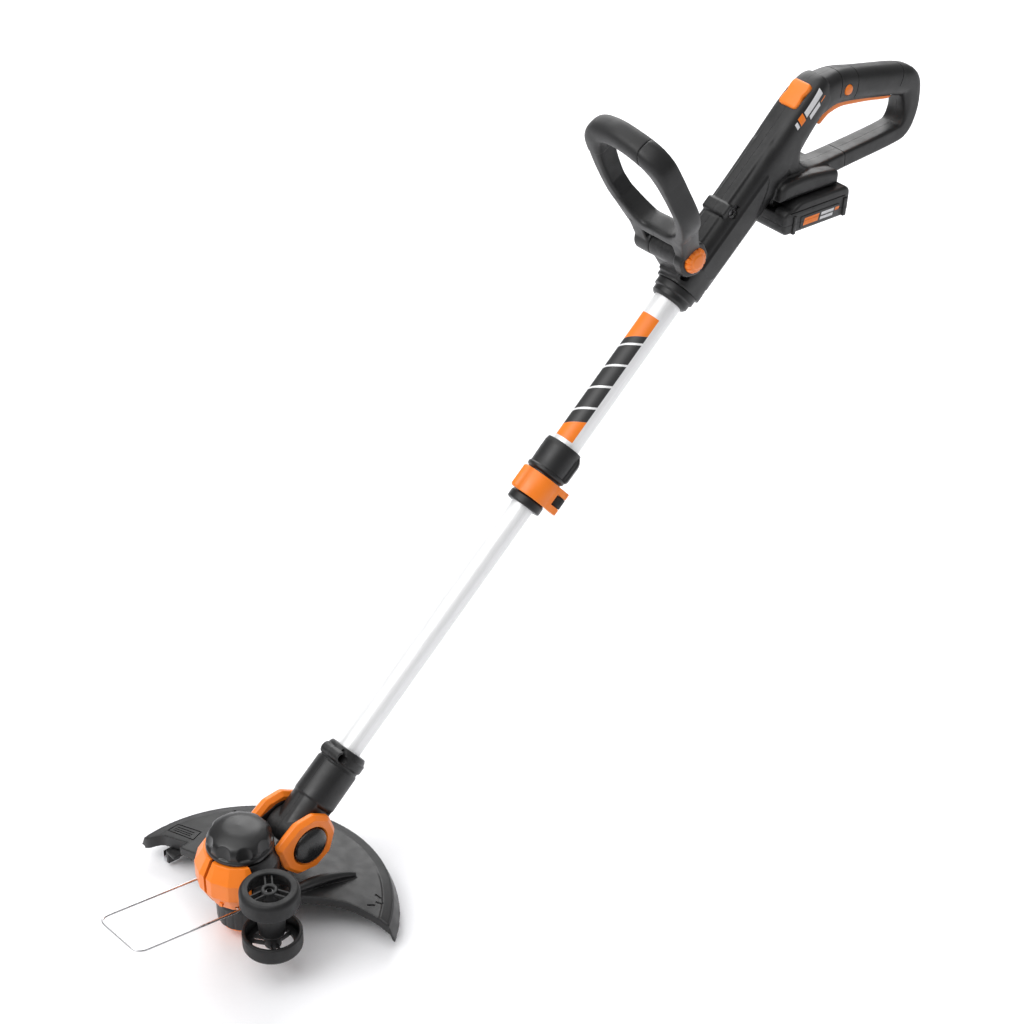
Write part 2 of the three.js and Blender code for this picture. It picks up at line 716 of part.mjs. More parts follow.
function mirroredY(geometry) {
  return flipped(mergeVertices(geometry.clone().scale(1, -1, 1), 1e-5));
}

function arcBand(inner, outer, from, to) {
  const shape = new THREE.Shape();
  shape.absarc(0, 0, outer, from, to, false);
  shape.absarc(0, 0, inner, to, from, true);
  shape.closePath();
  return shape;
}

function buildClamp() {
  const bore = UPPER_TUBE_R + GAP;
  const profile = [
    [LOWER_TUBE_R + GAP, CLAMP_FROM], [18.7, CLAMP_FROM + 1], [18.7, 477], [17.6, 480],
    [19.3, 484.5], [19.3, 506], [20.8, 508], [22, 526], [22, 537], [20, 542], [bore, 542],
    [bore, UPPER_TUBE_FROM - GAP],
    [LOWER_TUBE_R + GAP, UPPER_TUBE_FROM - GAP], [LOWER_TUBE_R + GAP, CLAMP_FROM],
  ];
  const lug = outline([
    [15, -6, 0], [20, -7, 1], [27, -13, 2], [27.5, -18, 2], [22, -20.5, 2], [14, -13, 0],
  ]);
  const split = block(14, 24, -1, 1, 484.6, 506).rotateZ(75 * DEG);
  const pinHole = rod(LEVER_PIN.r + 0.2, 475, 510, 14).translate(LEVER_PIN.x, -LEVER_PIN.up, 0);
  const lugSolid = acrossShaft(lug, LEVER.forkFrom + 0.4, LEVER.forkTo - 0.4);
  const collar = cut(join(turned(profile, 20), lugSolid), split, pinHole);
  add(shaft, "clamp_collar", largest(collar), BLACK);

  const arc = arcBand(LEVER.inner, LEVER.outer, -26 * DEG, 104 * DEG);
  const band = acrossShaft(arc, LEVER.from, LEVER.to, 8);
  const eye = rod(5, LEVER.from, LEVER.to, 14).translate(LEVER_PIN.x, -LEVER_PIN.up, 0);
  const tab = acrossShaft(outline([
    [-1, 19.9, 0], [3, 22.6, 0], [-2, 27, 3], [-9, 26.5, 3], [-11.5, 20.5, 2], [-10, 18, 0],
  ]), LEVER.from + 1, LEVER.to - 1);
  const link = acrossShaft(outline([
    [22.6, 2, 0], [24.5, -5, 3], [26.8, -14, 0], [22, -20.6, 0], [16, -15, 0], [19, -4, 0],
  ]), LEVER.from, LEVER.to, 2);
  const fork = block(14, 34, 5, 30, LEVER.forkFrom, LEVER.forkTo);
  const clear = rod(LEVER.inner, LEVER.from - 5, LEVER.to + 5, 24);
  const holeRod = rod(LEVER_PIN.r + 0.3, LEVER.from - 5, LEVER.to + 5, 14);
  const hole = holeRod.translate(LEVER_PIN.x, -LEVER_PIN.up, 0);
  const lever = cut(join(band, eye, link, tab), clear, hole, fork);
  add(shaft, "clamp_lever", largest(lever), ORANGE);
  const pin = rod(LEVER_PIN.r - 0.1, LEVER.from, LEVER.to, 14).translate(LEVER_PIN.x, -LEVER_PIN.up, 0);
  add(shaft, "clamp_lever_pin", pin, STEEL);
}

// ---------------------------------------------------------------- yoke at the shaft's foot

function buildYoke() {
  const sleeve = turned([
    [0, 106], [19.5, 106], [23.4, 114], [22.6, 148], [21.2, 149.5], [21.2, 152], [23, 153.5],
    [23, 162.5], [20, YOKE_TOP], [0, YOKE_TOP],
  ], 20);
  const eye = move(rodX(YOKE_EYE_R, -YOKE_EYE_HALF, YOKE_EYE_HALF, 24), 0, 0, TILT_PIVOT_AT);
  const neck = block(-YOKE_EYE_HALF, YOKE_EYE_HALF, -19, 19, TILT_PIVOT_AT, 112);
  const tubeSpace = rod(LOWER_TUBE_R + GAP, LOWER_TUBE_FROM - 0.5, 180, 20);
  const wireWay = rod(7, 70, 100, 16);
  const pinHole = move(rodX(6.3, -30, 30, 18), 0, 0, TILT_PIVOT_AT);
  const body = cut(join(sleeve, eye, neck), tubeSpace, wireWay, pinHole);
  add(shaft, "yoke_left_shell", common(body, block(HALF_GAP, 40, -40, 40, 40, 180)), BLACK);
  add(shaft, "yoke_right_shell", common(body, block(-40, -HALF_GAP, -40, 40, 40, 180)), BLACK);
}

// ---------------------------------------------------------------- motor head

function coreShape(grow) {
  return turned([
    [0, CORE_BOTTOM - grow], [35 + grow, CORE_BOTTOM - grow], [CORE_R + grow, 15],
    [CORE_R + grow, 48], [33 + grow, CORE_TOP + grow], [0, CORE_TOP + grow],
  ], 20);
}

// side view of a head arm in (y, z): from the core to a disc round the tilt pivot
function armSide(radius) {
  const shape = new THREE.Shape();
  const { y, z } = tiltPivot;
  shape.moveTo(22, 14);
  shape.lineTo(y - 8, z - radius + 1);
  shape.absarc(y, z, radius, -100 * DEG, 100 * DEG, false);
  shape.lineTo(26, 57);
  shape.lineTo(22, 50);
  shape.closePath();
  return shape;
}

function buildHead() {
  const arms = [-1, 1].map((sign) => {
    const [from, to] = sign < 0 ? [-ARM_OUT, -YOKE_EYE_HALF - 0.5] : [YOKE_EYE_HALF + 0.5, ARM_OUT];
    return plateX(armSide(24.5), from, to, 0, 9);
  });
  const bridgeSide = outline([[25, 12], [38, 15, 2], [39.5, 43, 3], [37, 58, 4], [25, 58]]);
  const bridge = plateX(bridgeSide, -ARM_OUT, ARM_OUT, 0, 2);
  const motorRoom = turned([[0, 13], [27.6, 13], [27.6, 58], [30, 58], [30, 70], [0, 70]], 20);
  const bearingSeat = rod(9.3, 0, 20, 20);
  const pinHole = move(rodX(6.3, -30, 30, 18), 0, tiltPivot.y, tiltPivot.z);
  const screwHoles = GUARD_SCREWS.map(([x, y]) => move(rod(2.1, 0, 12.6, 10), x, y, 0));
  const rooms = [motorRoom, bearingSeat, pinHole, ...screwHoles];
  add(head, "motor_housing", cut(join(coreShape(0), bridge, ...arms), ...rooms), BLACK);

  const coverBottom = CORE_BOTTOM - 0.5;
  const coverProfile = [
    [0, coverBottom], [36.5, coverBottom], [COVER_R, 27], [COVER_R, 46], [36.5, 62], [0, 62],
  ];
  const cover = turned(coverProfile, 15).rotateZ(-6 * DEG);
  const bracketRoom = turnZ(block(34, 60, -7, 30, 12, 48), wheelAngle);
  const wireRoom = move(rodX(WIRE.r + 0.3, -40, 40, 12), 0, WIRE.y, WIRE.z);
  const hollowed = cut(cover, coreShape(GAP), wireRoom, bracketRoom);
  [["left", 1], ["right", -1]].forEach(([side, sign]) => {
    const [near, far] = [sign * HALF_GAP * 3, sign * 60];
    const half = block(Math.min(near, far), Math.max(near, far), -60, -14, 0, 70);
    add(head, `front_cover_${side}`, largest(common(hollowed, half)), ORANGE);
  });

  buildPivotCovers();
  buildMotor();
}

const wheelAngle = Math.atan2(WHEEL.y, WHEEL.x);

// corners of the orange ring's side view, round the pivot: [angle, radius]
const COVER_CORNERS = [
  [0, 33], [38, 33.5], [76, 33], [112, 34], [160, 42], [206, 33], [244, 33.5], [282, 33],
  [320, 33.5],
];

function buildPivotCovers() {
  const { y, z } = tiltPivot;
  const corners = COVER_CORNERS.map(([angle, radius]) =>
    [y + radius * Math.cos(angle * DEG), z + radius * Math.sin(angle * DEG), 3]);
  const shell = plateX(outline(corners), YOKE_EYE_HALF + 1, PIVOT_COVER_OUT, 4.5, 1);
  const hole = move(rodX(PIVOT_HOLE_R, 15, 40, 20), 0, y, z);
  const armRoom = plateX(armSide(25), 0, ARM_OUT + GAP, 0, 9);
  const neckSide = outline([[20, 8], [41, 12], [42, 46], [40, 62], [20, 62]]);
  const neckRoom = plateX(neckSide, 0, ARM_OUT + GAP);
  const left = cut(shell, hole, armRoom, neckRoom, coreShape(0.4));
  add(head, "pivot_cover_left", largest(left), ORANGE);
  add(head, "pivot_cover_right", largest(mirrored(left)), ORANGE);

  const rim = PIVOT_HOLE_R - 0.7;
  const dome = [[0, 28], [rim, 28], [rim, 30.5], [17, 33.5], [9, 36.5], [0, 37.3]];
  const button = join(turnY(turned(dome, 18), Math.PI / 2), rodX(5.8, 12.6, 29, 12));
  add(head, "tilt_button", move(button, 0, y, z), BLACK);
  const seat = ARM_OUT + GAP;
  const cap = [[0, seat], [rim, seat], [rim, 29], [16, 32], [8, 34], [0, 34.5]];
  add(head, "pivot_cap_right", move(turnY(turned(cap, 18), -Math.PI / 2), 0, y, z), BLACK);
  add(head, "tilt_pivot_pin", move(rodX(6, -21.7, 9.2, 16), 0, y, z), STEEL);
  const coil = turnY(spring(9, 0.5, 1.3, ARM_OUT + 0.1, ARM_OUT + 2.6), Math.PI / 2);
  add(head, "tilt_button_spring", move(coil, 0, y, z), STEEL);
}

function buildMotor() {
  const cap = [[0, 85.6], [17, 80.5], [30.5, 66.5], [30.5, 62.6], [33.4, 62.6], [33.4, 67.5],
    [29.5, 73.5], [19.5, 83.3], [9, 88.3], [0, 89]];
  const crown = join(turned(cap, 20), rod(6, 58.8, 87, 12));
  add(head, "motor_cap", cut(crown, rod(4.2, 58, 64, 12)), BLACK);
  const can = [[4, 54], [25.3, 54], [25.3, 14], [27.2, 14], [27.2, 56], [9.5, 56], [9.5, 58],
    [8.2, 58], [8.2, 55.5], [4, 55.5], [4, 54]];
  add(head, "motor_can", turned(can, 20), STEEL);
  add(head, "upper_bearing", ring(7.9, 2.75, 55.8, 58, 12), STEEL);
  add(head, "lower_bearing", ring(9, 2.75, 9.2, 13.6, 12), STEEL);
}

// ---------------------------------------------------------------- rotor and spool

function buildSpool() {
  const rotorProfile = [[0, SPOOL_BOTTOM + 8], [2.5, SPOOL_BOTTOM + 8], [2.5, 18], [7, 18], [7, 23],
    [21, 23], [21, 47], [7, 47], [7, 51], [2.5, 51], [2.5, 61], [0, 61]];
  add(head, "motor_rotor", turned(rotorProfile, 16), COPPER);
  const cup = [[2.8, 0.5], [7, 0.5], [7, -5], [25.6, -5], [25.6, -27], [SPOOL_R, -27],
    [SPOOL_R, -4], [26, 1], [14, 6.2], [2.8, 6.2], [2.8, 0.5]];
  const windows = [0, 180].map((angle) => turnZ(move(rodX(2.2, 20, 32, 12), 0, 0, -14), angle * DEG));
  add(head, "spool_housing", cut(turned(cup, 20), ...windows), BLACK);
  const reel = [[5, -24], [24.5, -24], [24.5, -22], [11, -22], [11, -9], [24.5, -9], [24.5, -7],
    [7.6, -7], [7.6, -21.5], [5, -21.5], [5, -24]];
  add(head, "spool", turned(reel, 18), SOFT);
  add(head, "line_winding", ring(21.5, 11.3, -21.7, -9.3, 16), ORANGE);
  add(head, "spool_spring", spring(5.6, 0.7, 3, -21.2, -7.5), STEEL);
  const lid = [[0, SPOOL_BOTTOM], [19, SPOOL_BOTTOM], [25.4, SPOOL_BOTTOM + 2.4],
    [SPOOL_R - 1.8, -27.3], [10, -27.3], [8, -25.3], [0, -25.3]];
  add(head, "spool_cap", turned(lid, 20), ORANGE);
}

// ---------------------------------------------------------------- guard

const GUARD_SCREWS = [[26, 24], [-26, 24]];

// [radius, z] along the top of the guard's plate, from the hub to the rim
const GUARD_SEGMENTS = 32;
const PLATE = [[31, 8.6], [43, 8.6], [50, 3.5], [100, -4.5], [138, -12.5], [GUARD_R, -17]];

function plateBand(depth, from = 0) {
  const top = PLATE.map(([r, z]) => [r, z - from]);
  const under = PLATE.map(([r, z]) => [r, z - from - depth]).reverse();
  return turned([...top, ...under, top[0]], GUARD_SEGMENTS);
}

// a rim that hangs from the plate's edge and flares outwards
function skirt(depth, flare) {
  const wall = 2.6;
  return turned([
    [GUARD_R - wall, -16.5], [GUARD_R, -17], [GUARD_R + flare, -17 - depth],
    [GUARD_R + flare - wall, -17 - depth], [GUARD_R - wall - 0.8, -18], [GUARD_R - wall, -16.5],
  ], GUARD_SEGMENTS);
}

// the guard's plan: its front edges run from the hub to the two tips
const LEFT_EDGE = [
  [-36, 6], [-72, 0], [-100, -5], [-100.2, 5.5], [-134, -2.2], [-145, -20.5], [-175, -40],
];
const RIGHT_EDGE = [[34, 22], [47, 38], [59, 53.5], [79, 71], [103, 80.5], [140, 89]];

function planOf(inset) {
  const left = LEFT_EDGE.map(([x, y]) => [x, y + inset]);
  const right = RIGHT_EDGE.map(([x, y]) => [x - inset * 0.6, y + inset]);
  return outline([...right, [200, 200], [-200, 200], ...left.reverse()]);
}

function buildGuard() {
  const plan = plateZ(planOf(0), -60, 20);
  const inner = plateZ(planOf(3), -60, 20);
  const tip = plateZ(outline([[60, 30], [200, 60], [200, 100], [110, 150], [80, 120]]), -60, 0);
  const hollow = rod(30.8, -60, 20, 24);
  const plate = common(plateBand(2.6), plan);
  const walls = cut(common(plateBand(9, 1), plan), inner);
  const lipAt = block(-170, -100.3, -60, 8, -60, 0);
  const lip = cut(common(common(plateBand(13, 1), plan), lipAt), inner);
  const rimSide = common(skirt(11, 4), plan);
  const rimTip = common(common(skirt(24, 8), tip), plan);
  const pads = GUARD_SCREWS.map(([x, y]) => move(rod(6, 4.5, 8.6, 12), x, y, 0));
  const ribs = [-1, 1].map((sign) => {
    const stations = [[38, 3, 3, 5], [60, 6, 6, 8], [88, 2, 6, 6], [108, -5, 3, 3]];
    return bar(stations, "yz", { power: 2, sides: 8 }).translate(sign * 40, 0, 0);
  });
  const holes = GUARD_SCREWS.map(([x, y]) => move(rod(2.1, 0, 12, 10), x, y, 0));
  const slots = [[86, 102, 8], [94, 97, 32], [92, 88, 60]].map(([x, y, angle]) =>
    move(turnZ(block(-4, 4, -1.4, 1.4, -30, 10), angle * DEG), x, y, 0));
  const headRooms = GUARD_SCREWS.map(([x, y]) => move(rod(5, -10, 4.4, 12), x, y, 0));
  const body = join(plate, walls, lip, rimSide, rimTip, ...pads, ...ribs);
  const openings = [hollow, ...holes, ...slots, ...headRooms, coreShape(GAP + 0.05)];
  add(head, "guard", largest(cut(body, ...openings)), BLACK);
  GUARD_SCREWS.forEach(([x, y], i) => {
    const fastener = move(turnX(screw(1.8, 8.5, 3.8), Math.PI), x, y, 4);
    add(head, `guard_screw_${i + 1}`, move(fastener, 0, 0, -1.9), STEEL);
  });

  // the line cutter hangs from the guard's right-hand edge, on the user's right
  const bracket = outline([[0, 0], [15, 0], [15, -3.4], [4, -3.4], [4, -16], [0, -16]]);
  const arm = plateX(bracket, -7, 7).rotateZ(-94 * DEG);
  const hanger = move(arm, -124, 1, -24);
  add(head, "cutter_bracket", hanger, BLACK);
  const blade = block(-7, 7, -0.8, 0, -19, -4).rotateZ(-94 * DEG);
  add(head, "cutter_blade", move(blade, -128.5, 1, -24), STEEL);
}

// ---------------------------------------------------------------- edging wheels

function buildWheels() {
  const { x, y, r, tall, topAt, bottomAt } = WHEEL;
  const profile = [
    [26.5, 0], [29.3, 0], [r, 1.2], [r, tall - 3], [27.5, tall], [20.3, tall], [20.3, 13],
    [26.5, 13], [26.5, 0],
  ];
  const hub = ring(8.5, AXLE_R + GAP, 2, 18, 10);
  const spokes = [0, 120, 240].flatMap((angle) => [-3.4, 3.4].map((side) =>
    turnZ(block(6.5, 24, side - 1, side + 1, 12.8, 17.5), (angle + 25) * DEG)));
  const wheel = join(turned(profile, 20), hub, ...spokes);
  add(head, "upper_wheel", move(wheel, x, y, topAt - tall), TYRE);
  add(head, "lower_wheel", move(turnX(wheel, Math.PI), x, y, bottomAt + tall), TYRE);

  const [low, high] = [bottomAt + tall - 1.5, topAt - tall + 1.5];
  const cone = move(rod(12.8, low, high, 20, 17), x, y, 0);
  const stem = turnZ(block(CORE_R - 6, Math.hypot(x, y), -6, 6, 20, 40), wheelAngle);
  const pad = turnZ(block(CORE_R - 6, CORE_R + 3, -6, 9, 16, 44), wheelAngle);
  const bore = move(rod(AXLE_R + 0.2, -20, 80, 12), x, y, 0);
  const bracket = cut(join(cone, stem, pad), bore, coreShape(GAP));
  add(head, "wheel_bracket", largest(bracket), BLACK);
  add(head, "wheel_axle", move(rod(AXLE_R, bottomAt + 4, topAt - 4, 12), x, y, 0), STEEL);
}

// ---------------------------------------------------------------- wire guard

function buildWireGuard() {
  const { r, half, y, z, reach, rise, corner } = WIRE;
  const place = (x, forward) =>
    new THREE.Vector3(x, y - forward * Math.cos(rise), z + forward * Math.sin(rise));
  const path = new THREE.CurvePath();
  const stops = [place(-half + 4, 0), place(-half, 0), place(-half, reach), place(half, reach),
    place(half, 0), place(half - 4, 0)];
  const radii = [0, 2.4, corner, corner, 2.4, 0];
  const ends = stops.map((point, i) => {
    if (i === 0 || i === stops.length - 1) return [point, point];
    const before = stops[i - 1].clone().sub(point).setLength(radii[i]).add(point);
    const after = stops[i + 1].clone().sub(point).setLength(radii[i]).add(point);
    return [before, after];
  });
  for (let i = 1; i < stops.length; i++) {
    path.add(new THREE.LineCurve3(ends[i - 1][1], ends[i][0]));
    if (i < stops.length - 1) {
      path.add(new THREE.QuadraticBezierCurve3(ends[i][0], stops[i], ends[i][1]));
    }
  }
  const points = path.curves.flatMap((curve) =>
    (curve.isLineCurve3 ? [0, 1] : [0.2, 0.4, 0.6, 0.8]).map((t) => curve.getPoint(t)));
  add(head, "wire_guard", wireAlong(points, r), STEEL);
}

// a round wire through points, mitred where it bends
function wireAlong(points, radius, sides = 8) {
  const up = new THREE.Vector3(0, Math.sin(WIRE.rise), Math.cos(WIRE.rise));
  const rings = points.map((point, i) => {
    const from = points[Math.max(i - 1, 0)];
    const to = points[Math.min(i + 1, points.length - 1)];
    const side = to.clone().sub(from).cross(up).normalize();
    return Array.from({ length: sides }, (_, k) => {
      const angle = (2 * Math.PI * k) / sides;
      return point.clone()
        .addScaledVector(side, radius * Math.cos(angle))
        .addScaledVector(up, radius * Math.sin(angle));
    });
  });
  return loft(rings);
}

buildHousing();
buildTubeCollar();
buildControls();
buildBattery();
buildLoopHandle();
buildTubes();
buildClamp();
buildYoke();
buildHead();
buildSpool();
buildGuard();
buildWheels();
buildWireGuard();

export default edger;
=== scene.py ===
"""The looks of a cordless lawn edger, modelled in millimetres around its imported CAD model."""

import json
import math

import bmesh
import bpy
import numpy as np
from mathutils import Matrix, Vector


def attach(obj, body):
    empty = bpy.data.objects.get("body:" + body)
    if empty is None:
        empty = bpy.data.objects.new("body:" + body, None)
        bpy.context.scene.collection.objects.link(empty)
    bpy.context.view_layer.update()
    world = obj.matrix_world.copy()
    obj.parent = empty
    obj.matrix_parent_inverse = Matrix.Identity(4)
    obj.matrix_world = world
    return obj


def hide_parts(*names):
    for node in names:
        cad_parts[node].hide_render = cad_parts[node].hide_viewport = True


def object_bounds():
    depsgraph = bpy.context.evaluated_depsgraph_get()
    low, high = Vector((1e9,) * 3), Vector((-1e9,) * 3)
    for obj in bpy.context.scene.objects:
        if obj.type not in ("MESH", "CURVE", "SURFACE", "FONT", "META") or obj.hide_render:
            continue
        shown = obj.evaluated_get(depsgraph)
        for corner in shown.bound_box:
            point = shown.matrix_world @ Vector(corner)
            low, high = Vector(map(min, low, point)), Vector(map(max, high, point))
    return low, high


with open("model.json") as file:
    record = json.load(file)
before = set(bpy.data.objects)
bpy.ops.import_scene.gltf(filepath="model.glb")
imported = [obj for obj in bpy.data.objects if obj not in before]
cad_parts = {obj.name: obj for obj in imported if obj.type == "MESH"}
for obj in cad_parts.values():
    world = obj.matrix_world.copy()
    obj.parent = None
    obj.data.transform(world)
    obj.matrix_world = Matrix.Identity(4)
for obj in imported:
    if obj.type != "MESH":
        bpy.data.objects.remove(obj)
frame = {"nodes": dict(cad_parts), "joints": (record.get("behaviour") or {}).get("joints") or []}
CAD_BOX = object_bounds()
JOINTS = {joint["name"]: joint for joint in frame["joints"]}
MM = 0.001
DEG = math.pi / 180


# ---- frames, in millimetres

def point_of(joint):
    return Vector(JOINTS[joint]["pos_m"])


def placed(origin, x_turn):
    """A millimetre frame at a point of the row frame, turned about +X."""
    return Matrix.Translation(origin) @ Matrix.Rotation(x_turn, 4, "X") @ Matrix.Scale(MM, 4)


TO_LEFT = Vector((1, 0, 0))
UP_SHAFT = Vector(JOINTS["telescope_slide"]["axis"]).normalized()
BACK_BATTERY = Vector(JOINTS["battery_slide"]["axis"]).normalized()
SHAFT_LEAN = math.atan2(UP_SHAFT.y, UP_SHAFT.z)
BATTERY_SLOPE = math.atan2(-BACK_BATTERY.z, BACK_BATTERY.y)
LOOP_LEAN = 22.3 * DEG
TILT_PIVOT_AT = 69
MOTOR_AXIS = point_of("spool_spin")

# the camera's place in metres, its right and its back, all in the row frame
CAMERA_AT = Vector((1.84, -2.1402, 1.4526))
CAMERA_RIGHT = Vector((0.6687, 0.7435, -0.0063))
CAMERA_BACK = Vector((0.6076, -0.5415, 0.5811))
LENS = 106

LAYOUT = placed(MOTOR_AXIS, 0)
SHAFT = placed(point_of("head_tilt") - UP_SHAFT * TILT_PIVOT_AT * MM, -SHAFT_LEAN)
LOOP = placed(point_of("loop_handle_tilt"), LOOP_LEAN)
BATTERY = placed(MOTOR_AXIS + Vector((0, 700.5, 490)) * MM, -BATTERY_SLOPE)


def in_layout(joint):
    return (point_of(joint) - MOTOR_AXIS) / MM


TILT = in_layout("head_tilt")
LOOP_PIVOT = in_layout("loop_handle_tilt")
TRIGGER_PIVOT = in_layout("trigger_pull")


def on_shaft(station, up):
    """The layout point at a station along the shaft and a height above its line."""
    return LAYOUT.inverted() @ (SHAFT @ Vector((0, -up, station)))


def shifted(where, x=0.0, y=0.0, z=0.0):
    return where @ Matrix.Translation((x, y, z))


def turned_z(where, angle):
    return where @ Matrix.Rotation(angle, 4, "Z")


def sideways(where, y, z, sign=1):
    """A frame whose +Z points along +X, or along -X where sign is -1."""
    return shifted(where, 0, y, z) @ Matrix.Rotation(sign * math.pi / 2, 4, "Y")


def beside(station, up):
    """A frame whose +Z points left, at a station along the shaft and a height above its line."""
    return sideways(SHAFT, -up, station)


def at_pivot(point, sign=1):
    """A frame whose +Z points left, or right where sign is -1, at a pivot in the layout."""
    return sideways(LAYOUT, point.y, point.z, sign)


# ---- shapes

def make(vertices, faces, where):
    """A mesh object from points in millimetres in a frame, with its doubles merged."""
    mesh = bpy.data.meshes.new("shape")
    mesh.from_pydata([where @ Vector(v) for v in vertices], [], faces)
    fixed = bmesh.new()
    fixed.from_mesh(mesh)
    bmesh.ops.remove_doubles(fixed, verts=fixed.verts, dist=1e-7)
    bmesh.ops.recalc_face_normals(fixed, faces=fixed.faces)
    fixed.to_mesh(mesh)
    fixed.free()
    obj = bpy.data.objects.new("shape", mesh)
    bpy.context.scene.collection.objects.link(obj)
    return obj


def filleted(corners, closed, steps=4):
    """A line through (a, b, radius) corners, with a curve at each corner that has a radius."""
    points = []
    count = len(corners)
    for i, corner in enumerate(corners):
        here = np.array(corner[:2], float)
        radius = corner[2] if len(corner) > 2 else 0
        if radius <= 0 or (not closed and i in (0, count - 1)):
            points.append(tuple(here))
            continue
        before = np.array(corners[i - 1][:2], float) - here
        after = np.array(corners[(i + 1) % count][:2], float) - here
        reach = min(radius, 0.48 * np.linalg.norm(before), 0.48 * np.linalg.norm(after))
        start = here + before / np.linalg.norm(before) * reach
        end = here + after / np.linalg.norm(after) * reach
        for t in np.linspace(0, 1, steps + 1):
            points.append(tuple((1 - t) ** 2 * start + 2 * t * (1 - t) * here + t * t * end))
    return points


def skin(rings, where, closed=False, capped=True):
    """A surface over rings of points; a ring of one point is a pole."""
    vertices, rows, faces = [], [], []
    for ring in rings:
        rows.append(range(len(vertices), len(vertices) + len(ring)))
        vertices += ring
    pairs = list(zip(rows, rows[1:])) + ([(rows[-1], rows[0])] if closed else [])
    for low, high in pairs:
        sides = max(len(low), len(high))
        for k in range(sides):
            right = (k + 1) % sides
            face = [low[k % len(low)], low[right % len(low)]]
            face += [high[right % len(high)], high[k % len(high)]]
            faces.append(list(dict.fromkeys(face)))
    if capped and not closed:
        faces += [list(rows[0]), list(rows[-1])]
    return make(vertices, faces, where)


def lathe(profile, where, segments=72, fillet=0.6, wave=None):
    """A profile of (radius, z) corners turned round Z; wave adds to the radius."""
    on_axis = profile[0][0] == 0
    corners = [(c[0], c[1], c[2] if len(c) > 2 else fillet) for c in profile]
    rings = []
    for radius, z in filleted(corners, not on_axis):
        angles = np.linspace(0, 2 * math.pi, segments, endpoint=False) if radius > 1e-6 else [0]
        ring = []
        for angle in angles:
            r = radius + (wave(radius, z, angle) if wave and radius > 0 else 0)
            ring.append((r * math.cos(angle), r * math.sin(angle), z))
        rings.append(ring)
    return skin(rings, where, not on_axis, False)


def rod(radius, low, high, where, segments=48, fillet=0.0):
    """A cylinder along Z, from low to high."""
    profile = [(0, low, 0), (radius, low), (radius, high), (0, high, 0)]
    return lathe(profile, where, segments, fillet)


def outward(outline):
    """A closed outline turned counterclockwise, and the mitred outward normal of each point."""
    points = np.array(outline, float)
    keep = [i for i in range(len(points)) if np.linalg.norm(points[i] - points[i - 1]) > 1e-6]
    points = points[keep]
    ahead = np.roll(points, -1, axis=0)
    if np.sum(points[:, 0] * ahead[:, 1] - ahead[:, 0] * points[:, 1]) < 0:
        points = points[::-1]
        ahead = np.roll(points, -1, axis=0)
    edges = ahead - points
    normals = np.stack([edges[:, 1], -edges[:, 0]], axis=1)
    normals /= np.linalg.norm(normals, axis=1)[:, None]
    before = np.roll(normals, 1, axis=0)
    mitre = (normals + before) / (1 + np.sum(normals * before, axis=1))[:, None]
    return points, mitre


PLANES = {
    "yz": lambda a, b, d: (d, a, b),
    "xy": lambda a, b, d: (a, b, d),
    "xz": lambda a, b, d: (a, d, b),
}


def plate(corners, low, high, where, edge=1.0, plane="yz", steps=3, curve=4):
    """An outline pulled from low to high across its plane, with rounded edges."""
    points, mitre = outward(filleted(corners, True, curve))
    turns = np.linspace(0, math.pi / 2, steps + 1) if edge > 0 else [math.pi / 2]
    lower = [(low + edge * (1 - math.cos(t)), edge * (1 - math.sin(t))) for t in turns]
    levels = lower + [(low + high - depth, inset) for depth, inset in reversed(lower)]
    rings = []
    for depth, inset in levels:
        rings.append([PLANES[plane](a, b, depth) for a, b in points - mitre * inset])
    return skin(rings, where)


def block(x0, x1, y0, y1, z0, z1, where, edge=0.0):
    return plate([(x0, y0), (x1, y0), (x1, y1), (x0, y1)], z0, z1, where, edge, "xy")


def smooth_line(stations, closed, per):
    """Stations joined by a Catmull-Rom curve, with per points between two of them."""
    line = []
    count = len(stations)
    rows = np.array(stations, float)
    for i in range(count if closed else count - 1):
        ids = [i - 1, i, i + 1, i + 2]
        ids = [k % count if closed else min(max(k, 0), count - 1) for k in ids]
        p0, p1, p2, p3 = rows[ids]
        for t in np.arange(per) / per:
            line.append(0.5 * (2 * p1 + (p2 - p0) * t + (2 * p0 - 5 * p1 + 4 * p2 - p3) * t**2
                               + (3 * p1 - p0 - 3 * p2 + p3) * t**3))
    if not closed:
        line.append(rows[-1])
    return line


def bar(stations, plane, where, closed=False, grow=0.0, sides=36, per=6):
    """A bar through (a, b, half in plane, half across, power) stations, with squarish sections."""
    line = smooth_line(stations, closed, per)
    count = len(line)
    rings = []
    for i, (a, b, tall, wide, power) in enumerate(line):
        before = line[i - 1] if closed or i else line[0]
        after = line[(i + 1) % count] if closed or i < count - 1 else line[-1]
        along = np.array(after[:2]) - np.array(before[:2])
        along /= np.linalg.norm(along)
        normal = np.array((along[1], -along[0]))
        ring = []
        for angle in np.linspace(0, 2 * math.pi, sides, endpoint=False):
            c, s = math.cos(angle), math.sin(angle)
            u = math.copysign(abs(c) ** (2 / power), c) * (tall + grow)
            v = math.copysign(abs(s) ** (2 / power), s) * (wide + grow)
            centre = np.array((a, b)) + normal * u
            ring.append(PLANES[plane](centre[0], centre[1], v))
        rings.append(ring)
    return skin(rings, where, closed)


